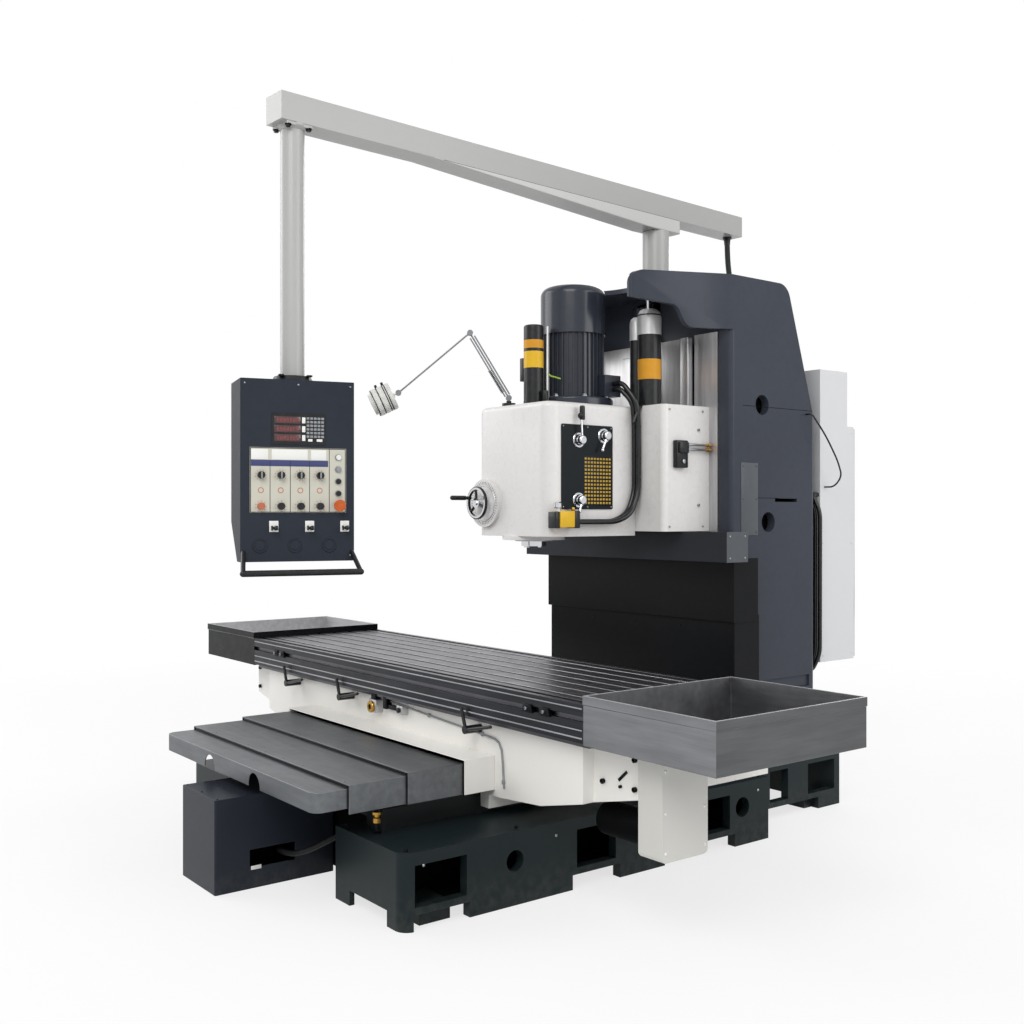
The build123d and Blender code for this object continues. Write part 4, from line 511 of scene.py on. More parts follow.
class Piece:
    """One mesh object under construction, in millimetres of the shared frame."""

    def __init__(self, name: str, finish: Finish) -> None:
        """Start an empty piece.

        Args:
            name: The object's name.
            finish: The finish that its first faces get.
        """
        self.name, self.finishes, self.number = name, [finish], 0
        self.mesh, self.frame = bmesh.new(), Matrix.Identity(4)

    @classmethod
    def of_node(cls, name: str, node: str, finish: Finish) -> "Piece":
        """Start from a merged copy of a CAD node's mesh.

        Args:
            name: The new piece's name.
            node: The CAD node.
            finish: The finish of its faces.

        Returns:
            The piece, with flat triangles joined into faces.
        """
        piece = cls(name, finish)
        piece.mesh.from_mesh(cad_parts[node].data)
        bmesh.ops.remove_doubles(piece.mesh, verts=piece.mesh.verts[:], dist=MERGE_DISTANCE)
        bmesh.ops.dissolve_limit(piece.mesh, angle_limit=FLAT_ANGLE, verts=piece.mesh.verts[:],
                                 edges=piece.mesh.edges[:])
        for face in piece.mesh.faces:
            face.material_index, face.smooth = 0, True
        return piece

    def using(self, finish: Finish) -> "Piece":
        """Give the faces made from here on this finish."""
        if finish not in self.finishes:
            self.finishes.append(finish)
        self.number = self.finishes.index(finish)
        return self

    def at(self, place: Matrix | None = None) -> "Piece":
        """Build from here on in a local frame, or in the shared one."""
        self.frame = place or Matrix.Identity(4)
        return self

    def repaint(self, low: Point, high: Point, finish: Finish) -> "Piece":
        """Give another finish to the faces whose middle lies in a box.

        Args:
            low: The box's lowest corner, in the local frame.
            high: Its highest corner.
            finish: Their new finish.

        Returns:
            The piece.
        """
        self.using(finish)
        local = self.frame.inverted()
        for face in self.mesh.faces:
            middle = local @ (face.calc_center_median() / MM)
            if all(low[i] <= middle[i] <= high[i] for i in range(3)):
                face.material_index = self.number
        self.number = 0
        return self

    def sink(self, low: Point, high: Point, axis: Axis, depth: float) -> "Piece":
        """Press a rectangle of a flat face inwards.

        Args:
            low: Lowest corner of a thin box round the rectangle.
            high: Its highest corner.
            axis: The axis that the face looks along.
            depth: How far the rectangle goes down.

        Returns:
            The piece.
        """
        along = axis.value[0]

        def within(face: bmesh.types.BMFace, spans: Sequence[int]) -> bool:
            """Tell whether a face that looks along the axis has its middle in the box."""
            middle = face.calc_center_median() / MM
            return face.normal[along] > 0.9 and all(low[i] <= middle[i] <= high[i] for i in spans)

        for across in axis.value[1:]:
            for edge in (low[across], high[across]):
                place, normal = Vector(), Vector()
                place[across], normal[across] = edge * MM, 1
                faces = [face for face in self.mesh.faces if within(face, (along,))]
                rim = dict.fromkeys(part for face in faces for part in (*face.edges, *face.verts))
                bmesh.ops.bisect_plane(self.mesh, geom=[*faces, *rim], plane_co=place, plane_no=normal)
        inner = [face for face in self.mesh.faces if within(face, range(3))]
        shift = Vector()
        shift[along] = -depth * MM
        rims = dict.fromkeys(vert for face in inner for vert in face.verts)
        below = {vert: self.mesh.verts.new(vert.co + shift) for vert in rims}
        for face in inner:
            outer = [(loop.vert, loop.link_loop_next.vert) for loop in face.loops
                     if not all(other in inner for other in loop.edge.link_faces)]
            walls = [(start, end, below[end], below[start]) for start, end in outer]
            for corners in (*walls, [below[vert] for vert in face.verts]):
                made = self.mesh.faces.new(corners)
                made.material_index, made.smooth = face.material_index, face.smooth
        bmesh.ops.delete(self.mesh, geom=inner, context="FACES")
        self.mesh.normal_update()
        return self

    def take(self, part: bmesh.types.BMesh, scale: float = 1.0) -> "Piece":
        """Add a part built in local millimetres, and free it.

        Args:
            part: The part's mesh.
            scale: A factor on its size, for parts in other units.

        Returns:
            The piece.
        """
        for face in part.faces:
            face.material_index, face.smooth = self.number, True
        part.transform(Matrix.Scale(MM, 4) @ self.frame @ Matrix.Scale(scale, 4))
        data = bpy.data.meshes.new("part")
        part.to_mesh(data)
        part.free()
        self.mesh.from_mesh(data)
        bpy.data.meshes.remove(data)
        return self

    def take_mesh(self, data: bpy.types.Mesh) -> "Piece":
        """Add a baked mesh in metres of the local frame, and remove it."""
        part = bmesh.new()
        part.from_mesh(data)
        bpy.data.meshes.remove(data)
        return self.take(part, 1 / MM)

    def box(self, low: Point, high: Point, edge: float = 1.5, segments: int = 2) -> "Piece":
        """Add a block with rounded edges.

        Args:
            low: Lowest corner.
            high: Highest corner.
            edge: Radius of its edges.
            segments: Faces across each rounded edge.

        Returns:
            The piece.
        """
        part = bmesh.new()
        bmesh.ops.create_cube(part, size=1.0)
        size = [high[i] - low[i] for i in range(3)]
        for vert in part.verts:
            vert.co = Vector([low[i] + (vert.co[i] + 0.5) * size[i] for i in range(3)])
        if edge:
            bmesh.ops.bevel(part, geom=part.edges[:], offset=min(edge, min(size) * 0.45), segments=segments,
                            profile=0.5, affect="EDGES", clamp_overlap=True)
        return self.take(part)

    def prism(self, outline: Outline, low: float, high: float, axis: Axis, edge: float = 0.0) -> "Piece":
        """Add a flat outline pulled along an axis.

        Args:
            outline: Points across the axis.
            low: Where it starts along the axis.
            high: Where it ends.
            axis: The axis.
            edge: Radius of its edges.

        Returns:
            The piece.
        """
        part = bmesh.new()
        along, first, second = axis.value
        ends = []
        for level in (low, high):
            ring = []
            for u, v in outline:
                place = [0.0, 0.0, 0.0]
                place[along], place[first], place[second] = level, u, v
                ring.append(part.verts.new(place))
            ends.append(ring)
        part.faces.new(ends[0])
        part.faces.new(ends[1])
        for i in range(len(outline)):
            j = (i + 1) % len(outline)
            part.faces.new((ends[0][i], ends[0][j], ends[1][j], ends[1][i]))
        bmesh.ops.recalc_face_normals(part, faces=part.faces[:])
        if edge:
            sharp = [e for e in part.edges if e.calc_face_angle(0) > PRISM_ANGLE]
            bmesh.ops.bevel(part, geom=sharp, offset=edge, segments=2, profile=0.5, affect="EDGES",
                            clamp_overlap=True)
        return self.take(part)

    def lathe(self, profile: Outline, origin: Point, axis: Point, segments: int = 48) -> "Piece":
        """Add a turned shape.

        Args:
            profile: Radius and height of each ring, closed where it starts and ends on the axis.
            origin: Where height is 0.
            axis: Which way height grows.
            segments: Faces round the axis.

        Returns:
            The piece.
        """
        part, turn = bmesh.new(), frame_at(origin, axis)
        rings = []
        for radius, height in profile:
            count = segments if radius > 0 else 1
            angles = [2 * math.pi * i / count for i in range(count)]
            rings.append([part.verts.new(turn @ Vector((radius * math.cos(a), radius * math.sin(a), height)))
                          for a in angles])
        for low, high in zip(rings, rings[1:]):
            for i in range(segments):
                j = (i + 1) % segments
                corners = [low[i % len(low)], low[j % len(low)], high[j % len(high)], high[i % len(high)]]
                face = list(dict.fromkeys(corners))
                if len(face) > 2:
                    part.faces.new(face)
        bmesh.ops.recalc_face_normals(part, faces=part.faces[:])
        return self.take(part)

    def ring(self, radii: tuple[float, float], span: tuple[float, float], origin: Point, axis: Point,
             segments: int) -> "Piece":
        """Add a ring with square edges.

        Args:
            radii: Its inner and outer radius.
            span: The heights where it starts and ends.
            origin: Where height is 0.
            axis: Which way height grows.
            segments: Faces round the axis.

        Returns:
            The piece.
        """
        (inner, outer), (low, high) = radii, span
        profile = [(inner, low), (outer, low), (outer, high), (inner, high), (inner, low)]
        return self.lathe(profile, origin, axis, segments)

    def rod(self, start: Point, end: Point, radius: float, edge: float = 1.0, segments: int = 32) -> "Piece":
        """Add a round bar with rounded ends.

        Args:
            start: Middle of one end.
            end: Middle of the other.
            radius: Its radius.
            edge: Radius of its rims.
            segments: Faces round it.

        Returns:
            The piece.
        """
        axis = Vector(end) - Vector(start)
        edge = min(edge, radius * 0.9, axis.length * 0.45)
        arc = [(edge * (1 - math.cos(a)), edge * (1 - math.sin(a))) for a in (0, math.pi / 4, math.pi / 2)]
        foot = [(radius - inset, rise) for inset, rise in reversed(arc)]
        head = [(radius - inset, axis.length - rise) for inset, rise in arc]
        return self.lathe([(0, 0), *foot, *head, (0, axis.length)], start, axis, segments)

    def tube(self, points: Sequence[Point], radius: float | Sequence[float], segments: int = 16) -> "Piece":
        """Add a round tube that follows points, closed at both ends.

        Args:
            points: Its centre line.
            radius: Its radius, or one for each point.
            segments: Faces round it.

        Returns:
            The piece.
        """
        part, line = bmesh.new(), [Vector(p) for p in points]
        radii = [radius] * len(line) if isinstance(radius, (int, float)) else radius
        heading = (line[1] - line[0]).normalized()
        side = heading.orthogonal().normalized()
        rings = []
        for i, place in enumerate(line):
            ahead = (line[min(i + 1, len(line) - 1)] - line[max(i - 1, 0)]).normalized()
            side = (heading.rotation_difference(ahead) @ side).normalized()
            heading, other = ahead, ahead.cross(side)
            rings.append([part.verts.new(place + (side * math.cos(a) + other * math.sin(a)) * radii[i])
                          for a in (2 * math.pi * k / segments for k in range(segments))])
        for low, high in zip(rings, rings[1:]):
            for i in range(segments):
                j = (i + 1) % segments
                part.faces.new((low[i], low[j], high[j], high[i]))
        part.faces.new(rings[0])
        part.faces.new(rings[-1])
        bmesh.ops.recalc_face_normals(part, faces=part.faces[:])
        return self.take(part)

    def built(self, sharp: bool = True) -> bpy.types.Object:
        """Turn the mesh into an object of the scene, and free it.

        Args:
            sharp: Whether its edges are marked sharp by their angle.

        Returns:
            The object, which has no material yet.
        """
        data = bpy.data.meshes.new(self.name)
        self.mesh.to_mesh(data)
        self.mesh.free()
        if sharp:
            data.set_sharp_from_angle(angle=SHARP_ANGLE)
        made = bpy.data.objects.new(self.name, data)
        bpy.context.scene.collection.objects.link(made)
        return made

    def done(self, body: str, slot: str | None = None, replaces: Sequence[str] = (), edge: float = 0.0,
             blend: bool = False) -> bpy.types.Object:
        """Make the object and hang it on its body.

        Args:
            body: The CAD body that it rides on.
            slot: The record's material slot, if it has one; not used.
            replaces: CAD nodes that it stands for.
            edge: Radius of a live bevel on its sharp edges.

        Returns:
            The finished object.
        """
        made = self.built(sharp=not edge)
        for finish in self.finishes:
            made.data.materials.append(finish.material())
        if edge:
            bevel = made.modifiers.new("soft_edges", "BEVEL")
            bevel.width, bevel.segments, bevel.limit_method = edge * MM, 3, "ANGLE"
            bevel.angle_limit = BEVEL_ANGLE
            made.modifiers.new("flat_faces", "WEIGHTED_NORMAL").weight = 80
        if not blend:
            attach(made, body)
        if replaces:
            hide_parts(*replaces)
        log.info("%s: %d faces on %s", self.name, len(made.data.polygons), body)
        return made


def shell(name: str, node: str, finish: Finish, body: str, slot: str, edge: float) -> bpy.types.Object:
    """Stand a copy of a CAD node, with softened edges, in for the node.

    Args:
        name: The piece's name.
        node: The CAD node.
        finish: Its finish.
        body: The CAD body that it rides on.
        slot: The record's material slot.
        edge: Radius of its edges.

    Returns:
        The finished object.
    """
    return Piece.of_node(name, node, finish).done(body, slot, [node], edge=edge)


# Patterns made by Geometry Nodes

class Layout(Enum):
    """How a pattern repeats its part."""

    POINTS = "points"
    RING = "ring"
    ROW = "row"
    GRID = "grid"
    PATH = "path"


class Pattern(Tree):
    """A Geometry Nodes tree that repeats a part, or sweeps a ribbed hose along a path."""

    SOCKETS = {
        Layout.POINTS: {"Part": "Object"},
        Layout.RING: {"Part": "Object", "Count": "Int", "Radius": "Float"},
        Layout.ROW: {"Part": "Object", "Count": "Int", "Step": "Vector"},
        Layout.GRID: {"Part": "Object", "Columns": "Int", "Rows": "Int", "Width": "Float", "Height": "Float"},
        Layout.PATH: {"Radius": "Float", "Rib": "Float", "Pitch": "Float"},
    }

    def __init__(self, layout: Layout) -> None:
        """Build the tree of one layout."""
        super().__init__(bpy.data.node_groups.new(f"pattern_{layout.value}", "GeometryNodeTree"))
        face = self.tree.interface
        face.new_socket("Geometry", in_out="INPUT", socket_type="NodeSocketGeometry")
        for name, kind in {**self.SOCKETS[layout], "Finish": "Material"}.items():
            face.new_socket(name, in_out="INPUT", socket_type=f"NodeSocket{kind}")
        face.new_socket("Geometry", in_out="OUTPUT", socket_type="NodeSocketGeometry")
        self.given = self.node("NodeGroupInput").outputs
        made = self.sweep() if layout is Layout.PATH else self.repeat(layout)
        whole = self.node("GeometryNodeRealizeInstances", {}, {0: made}).outputs[0]
        dressed = self.node("GeometryNodeSetMaterial", {}, {0: whole, "Material": self.given["Finish"]})
        self.node("NodeGroupOutput", {}, {0: dressed.outputs[0]})

    def repeat(self, layout: Layout) -> bpy.types.NodeSocket:
        """Place the part on the points of a layout.

        Args:
            layout: Which points.

        Returns:
            The instances.
        """
        given = self.given
        settings: dict = {}
        if layout is Layout.POINTS:
            points = given["Geometry"]
            settings["Rotation"] = self.aim("Z", self.field("axis", "FLOAT_VECTOR"))
            settings["Scale"] = self.field("size", "FLOAT")
        elif layout is Layout.RING:
            points = self.node("GeometryNodeMeshCircle", {},
                               {"Vertices": given["Count"], "Radius": given["Radius"]}).outputs[0]
            settings["Rotation"] = self.aim("X", self.node("GeometryNodeInputPosition").outputs[0])
        elif layout is Layout.ROW:
            points = self.node("GeometryNodeMeshLine", {},
                               {"Count": given["Count"], "Offset": given["Step"]}).outputs[0]
        else:
            points = self.node("GeometryNodeMeshGrid", {}, {
                "Size X": given["Width"], "Size Y": given["Height"],
                "Vertices X": given["Columns"], "Vertices Y": given["Rows"]}).outputs[0]
        part = self.node("GeometryNodeObjectInfo", {}, {"Object": given["Part"]}).outputs["Geometry"]
        return self.node("GeometryNodeInstanceOnPoints", {},
                         {"Points": points, "Instance": part, **settings}).outputs[0]

    def field(self, name: str, kind: str) -> bpy.types.NodeSocket:
        """Read a named attribute of the points."""
        return self.node("GeometryNodeInputNamedAttribute", {"data_type": kind}, {"Name": name}).outputs[0]

    def aim(self, axis: str, vector: bpy.types.NodeSocket) -> bpy.types.NodeSocket:
        """Turn an axis of the part along a vector."""
        return self.node("FunctionNodeAlignRotationToVector", {"axis": axis}, {"Vector": vector}).outputs[0]

    def sweep(self) -> bpy.types.NodeSocket:
        """Sweep a hose whose radius rises and falls along its path.

        Returns:
            The hose's mesh.
        """
        given = self.given
        pitch = Signal(self, given["Pitch"])
        path = self.node("GeometryNodeResampleCurve", {"mode": "LENGTH"},
                         {"Curve": given["Geometry"], "Length": pitch / 6}).outputs[0]
        length = Signal(self, self.node("GeometryNodeSplineParameter").outputs["Length"])
        wave = (length * (2 * math.pi) / pitch).sine()
        ring = self.node("GeometryNodeCurvePrimitiveCircle", {},
                         {"Resolution": 18, "Radius": given["Radius"]}).outputs[0]
        hose = self.node("GeometryNodeCurveToMesh", {}, {
            "Curve": path, "Profile Curve": ring, "Scale": 1 + wave * Signal(self, given["Rib"]),
            "Fill Caps": True})
        return hose.outputs[0]

    def bake(self, carrier: bpy.types.Object, **values: object) -> bpy.types.Mesh:
        """Evaluate the tree on a carrier.

        Args:
            carrier: The object with the points or the path; it is removed.
            values: The tree's inputs by name.

        Returns:
            The result as a plain mesh.
        """
        sockets = {s.name: s.identifier for s in self.tree.interface.items_tree if s.in_out == "INPUT"}
        modifier = carrier.modifiers.new("pattern", "NODES")
        modifier.node_group = self.tree
        for name, value in values.items():
            modifier[sockets[name]] = value
        bpy.context.scene.collection.objects.link(carrier)
        graph = bpy.context.evaluated_depsgraph_get()
        mesh = bpy.data.meshes.new_from_object(carrier.evaluated_get(graph), depsgraph=graph)
        carrier.modifiers.remove(modifier)
        bpy.data.objects.remove(carrier)
        return mesh


@cache
def pattern(layout: Layout) -> Pattern:
    """Build each pattern's tree once."""
    return Pattern(layout)


def repeated(layout: Layout, part: Piece, points: bpy.types.Mesh | None = None, **values: object) -> bpy.types.Mesh:
    """Repeat a part by a pattern.

    Args:
        layout: The pattern.
        part: The part to repeat, about its own origin; it is used up.
        points: The points to repeat it on, for a pattern that makes none.
        values: The pattern's inputs, with lengths in metres.

    Returns:
        The repeated part as one mesh.
    """
    single = part.built()
    carrier = bpy.data.objects.new("carrier", points or bpy.data.meshes.new("carrier"))
    made = pattern(layout).bake(carrier, Part=single, Finish=part.finishes[0].material(), **values)
    bpy.data.objects.remove(single)
    return made


class Head(Enum):
    """Kinds of screw head, each as wide as HEAD_WIDTH before it is sized."""

    SOCKET = "socket"
    HEX = "hex"
    BUTTON = "button"

    def part(self, finish: Finish) -> Piece:
        """Make one head about its own origin, rising along z.

        Args:
            finish: Its finish.

        Returns:
            The head.
        """
        made = Piece(f"screw_{self.value}", finish)
        if self is Head.SOCKET:
            made.lathe([(0, 3.2), (2.6, 3.2), (2.8, 6), (4.4, 6), (5, 5.3), (5, -1), (0, -1)],
                       (0, 0, 0), UP, 18)
        elif self is Head.HEX:
            made.lathe([(0, 0.9), (6.6, 0.9), (6.6, -1), (0, -1)], (0, 0, 0), UP, 20)
            made.lathe([(0, 5), (4.2, 5), (5, 4.4), (5, 0.5), (0, 0.5)], (0, 0, 0), UP, 6)
        else:
            made.lathe([(0, 1.4), (1.6, 1.4), (1.7, 3), (3.4, 2.4), (4.7, 1), (5, 0), (5, -1), (0, -1)],
                       (0, 0, 0), UP, 18)
        return made


@dataclass(frozen=True)
class Screw:
    """Where a screw sits.

    Attributes:
        place: Middle of the seat.
        axis: Which way its head rises.
        size: Head diameter.
    """

    place: Point
    axis: Point
    size: float


def screws(name: str, body: str, spots: Iterable[Screw], head: Head, finish: Finish) -> bpy.types.Object:
    """Make all the screws of one kind on one body as one piece.

    Args:
        name: The piece's name.
        body: The CAD body that they ride on.
        spots: Where they sit.
        head: Their head.
        finish: Their finish.

    Returns:
        The finished piece.
    """
    spots = list(spots)
    points = bpy.data.meshes.new("points")
    points.from_pydata([[c * MM for c in s.place] for s in spots], [], [])
    points.attributes.new("axis", "FLOAT_VECTOR", "POINT")
    points.attributes.new("size", "FLOAT", "POINT")
    for i, spot in enumerate(spots):
        points.attributes["axis"].data[i].vector = spot.axis
        points.attributes["size"].data[i].value = spot.size / HEAD_WIDTH
    heads = repeated(Layout.POINTS, head.part(finish), points)
    return Piece(name, finish).take_mesh(heads).done(body, "screw_steel")


def spline(points: Sequence[Point]) -> bpy.types.Object:
    """Make a smooth open curve with these control points.

    Args:
        points: The route in millimetres.

    Returns:
        A curve object with no bevel, in metres, not linked to the scene.
    """
    data = bpy.data.curves.new("route", "CURVE")
    data.dimensions, data.resolution_u = "3D", 16
    line = data.splines.new("NURBS")
    line.points.add(len(points) - 1)
    for spot, place in zip(line.points, points):
        spot.co = (*(c * MM for c in place), 1)
    line.order_u = 3
    line.use_endpoint_u = True
    return bpy.data.objects.new("route", data)


def spline_points(points: Sequence[Point]) -> list[Point]:
    """Give the points of a smooth curve with these control points.

    Args:
        points: The route in millimetres.

    Returns:
        Closely spaced points along it, in millimetres.
    """
    route = spline(points)
    line = bpy.data.meshes.new_from_object(route)
    found = [tuple(v.co / MM) for v in line.vertices]
    bpy.data.objects.remove(route)
    bpy.data.meshes.remove(line)
    return found


def hose(route: Sequence[Point], radius: float, rib: float, pitch: float, finish: Finish) -> bpy.types.Mesh:
    """Sweep a ribbed hose along a smooth curve.

    Args:
        route: The curve's control points.
        radius: Middle radius in millimetres.
        rib: How much of the radius each rib rises.
        pitch: From rib to rib in millimetres.
        finish: Its finish.

    Returns:
        The hose's mesh in metres.
    """
    return pattern(Layout.PATH).bake(spline(route), Radius=radius * MM, Rib=rib, Pitch=pitch * MM,
                                     Finish=finish.material())


# Studio

@dataclass
class Studio:
    """Camera, floor and soft light.

    Attributes:
        place: Where the camera stands.
        heading: Which way it looks, in degrees from the y axis.
        lens: Focal length of its lens.
        sensor: Width of its sensor.
        shift: Vertical shift of the picture.
        floor_size: Half the floor's width in metres.
    """

    place: Point = (4526.6, -3645.8, 1545.0)
    heading: float = 52.4
    lens: float = 39.84
    sensor: float = 36.0
    shift: float = 0.0016
    floor_size: float = 60.0

    def camera(self) -> None:
        """Set up the camera at the photograph's view."""
        data = bpy.data.cameras.new("camera")
        data.lens, data.sensor_width, data.shift_y = self.lens, self.sensor, self.shift
        data.clip_end = 200.0
        made = bpy.data.objects.new("camera", data)
        made.location = Vector(self.place) * MM
        made.rotation_euler = (math.pi / 2, 0, math.radians(self.heading))
        bpy.context.scene.collection.objects.link(made)
        bpy.context.scene.camera = made
        bpy.context.scene.view_settings.view_transform = "Standard"

    def lamp(self, name: str, place: Point, target: Point, size: float, power: float) -> None:
        """Hang one soft area lamp.

        Args:
            name: Its name.
            place: Where it hangs, in metres.
            target: What it points at.
            size: Its width.
            power: Its power in watts.
        """
        data = bpy.data.lights.new(name, "AREA")
        data.size, data.energy = size, power
        made = bpy.data.objects.new(name, data)
        made.location = place
        made.rotation_euler = (Vector(target) - Vector(place)).to_track_quat("-Z", "Y").to_euler()
        bpy.context.scene.collection.objects.link(made)

    def seen(self, tree: Tree) -> Signal:
        """Tell rays that see the background from rays that only carry light."""
        path = tree.node("ShaderNodeLightPath").outputs
        seen = Signal(tree, path["Is Camera Ray"]) + Signal(tree, path["Is Glossy Ray"])
        return (seen + Signal(tree, path["Is Transmission Ray"])).step(0.0, 1.0)

    def world(self, fill: float = 0.5) -> None:
        """Make a background that is white to look at and lights softly.

        Args:
            fill: Strength of its light on the object.
        """
        made = bpy.data.worlds.new("studio")
        made.use_nodes = True
        tree = Tree(made.node_tree)
        seen = self.seen(tree)
        tree.feed(made.node_tree.nodes["Background"].inputs["Strength"], seen + (1 - seen) * fill)
        made.node_tree.nodes["Background"].inputs["Color"].default_value = (1, 1, 1, 1)
        bpy.context.scene.world = made

    def floor(self, veil: float = 0.72) -> None:
        """Lay a pale floor that keeps the object's shadow.

        Args:
            veil: How much of it shows plain white to the camera.
        """
        data = bpy.data.meshes.new("floor")
        s = self.floor_size
        data.from_pydata([(-s, -s, 0), (s, -s, 0), (s, s, 0), (-s, s, 0)], [], [(0, 1, 2, 3)])
        material = bpy.data.materials.new("floor")
        material.use_nodes = True
        tree = Tree(material.node_tree)
        nodes = material.node_tree.nodes
        nodes["Principled BSDF"].inputs["Base Color"].default_value = (0.86, 0.86, 0.86, 1)
        nodes["Principled BSDF"].inputs["Roughness"].default_value = 0.85
        white = tree.node("ShaderNodeEmission", {}, {"Color": (1, 1, 1, 1), "Strength": 1.0})
        place = tree.node("ShaderNodeTexCoord").outputs["Object"]
        reach = tree.node("ShaderNodeVectorMath", {"operation": "LENGTH"}, {0: place}).outputs["Value"]
        share = veil + Signal(tree, reach).step(3.2, 7.5) * (1 - veil)
        both = tree.node("ShaderNodeMixShader", {}, {
            0: self.seen(tree) * share, 1: nodes["Principled BSDF"].outputs[0], 2: white.outputs[0]})
        tree.feed(nodes["Material Output"].inputs["Surface"], both.outputs[0])
        data.materials.append(material)
        made = bpy.data.objects.new("floor", data)
        bpy.context.scene.collection.objects.link(made)

    def build(self) -> None:
        """Set up the whole studio."""
        self.camera()
        self.world()
        self.floor()
        self.lamp("key", (4.5, -5.5, 6.5), (0, 0, 1.2), 4.5, 330)
        self.lamp("fill", (-5.5, -4.5, 4.5), (0, 0, 1.2), 4.5, 200)
        self.lamp("side", (6.5, 2.5, 4.0), (0, 0.8, 1.4), 4.0, 155)
        self.lamp("back", (-3.0, 6.0, 5.0), (0, 0.8, 1.4), 4.0, 150)


# The free cable between the swinging arm and the cabinet

@dataclass
class ArmCable:
    """A black cable that hangs from the arm's rear end into the cabinet's top.

    Attributes:
        route: Control points from the arm down to the cabinet.
        diameter: Across the cable.
        relief: Length of the tapered gland at each end.
    """

    route: tuple[Point, ...] = ((-83, 1537, 3205), (-83, 1537, 3045), (-62, 1564, 2860), (-48, 1587, 2680),
                                (-38, 1584, 2500), (-38, 1584, 2341))
    diameter: float = 32.0
    relief: float = 46.0

    def build(self) -> None:
        """Make the cable and its two glands."""
        points = spline_points(self.route)
        made = Piece("arm_cable_sheath", RUBBER).tube(points, self.diameter / 2, 20).done(
            "base", "black_rubber", ["arm_cable"], blend=True)
        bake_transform(made)
        taper = [(0, -1), (26, -1), (26, 9), (22, 13), (20, 16), (17.2, self.relief), (0, self.relief)]
        Piece("arm_cable_top_gland", PLASTIC).lathe(taper, self.route[0], (0, 0, -1), 24).done(
            "arm", "black_plastic")
        Piece("arm_cable_foot_gland", PLASTIC).lathe(taper, self.route[-1], UP, 24).done(
            "base", "black_plastic")


# Sub-assemblies

def coat(finish: Finish, *nodes: str) -> None:
    """Give CAD nodes, which keep their shape, a finish."""
    for node in nodes:
        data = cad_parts[node].data
        data.materials.clear()
        data.materials.append(finish.material())
        log.info("%s: %s", node, finish.name)


def sides(low: float, high: float, side: int) -> tuple[float, float]:
    """Give a span on one side of the centre line, lowest end first."""
    return (low, high) if side > 0 else (-high, -low)


@dataclass
class Bed:
    """The U-shaped bed casting with its ways.

    Attributes:
        rail: Inner and outer face of a rail.
        front: Front end of the rails.
        deck: Height of the rails.
        way: Inner and outer face of a way.
        way_end: Rear end of the ways.
        way_top: Height of the ways.
    """

    rail: tuple[float, float] = (487, 995)
    front: float = -1430
    deck: float = 293
    way: tuple[float, float] = (560, 680)
    way_end: float = 671
    way_top: float = 380

    def build(self) -> None:
        """Make the casting, the black sheets painted as shade inside its rails, and its small fittings."""
        casting = Piece.of_node("bed_casting", "bed", BED_GREY)
        for side in (-1, 1):
            x = sides(self.way[0] - 5, self.way[1] + 5, side)
            # The ways on the rails are painted dark as shade.
            casting.repaint((x[0], self.front, self.deck + 8), (x[1], self.way_end - 5, self.way_top + 1), SHADED_WAYS)
        casting.done("base", "dark_casting", ["bed"], edge=7)
        # Black sheets inside the rails and across the bed, painted as shade so the windows look dark inside.
        inside = Piece("bed_inside", SHADE_AND_SEAM_BLACK)
        for side in (-1, 1):
            x = sides(770, 776, side)
            inside.box((x[0], self.front + 60, 62), (x[1], 560, 252), 1)
            x = sides(self.rail[0] + 20, self.rail[1] - 20, side)
            inside.box((x[0], self.front + 20, 62), (x[1], 590, 66), 1)
        inside.box((1 - self.rail[0], -1246, 12), (self.rail[0] - 1, -1242, 285), 1)
        inside.done("base")
        spots = [Screw((side * x, y, self.deck), UP, 15) for side in (-1, 1)
                 for x, y in ((962, self.front + 34), (520, self.front + 34), (962, -880), (962, 200), (962, 580))]
        screws("bed_deck_screws", "base", spots, Head.SOCKET, BLACK_OXIDE)
        spots = [Screw((side * self.rail[1], y, 240), (side, 0, 0), 13) for side in (-1, 1)
                 for y in (-1340, -700, 60, 540)]
        screws("bed_side_screws", "base", spots, Head.BUTTON, BOLT_STEEL)
        fitting = Piece("bed_oil_fitting", BLACK_OXIDE)
        fitting.lathe([(0, 0), (18, 0), (18, 6), (8, 9), (8, 50), (0, 50)], (690, -1358, self.deck), UP, 24)
        fitting.using(BRASS).lathe([(0, 44), (17, 44), (17, 62), (11, 66), (11, 74), (20, 76), (20, 86), (0, 88)],
                                   (690, -1358, self.deck), UP, 24)
        fitting.done("base", "screw_steel")


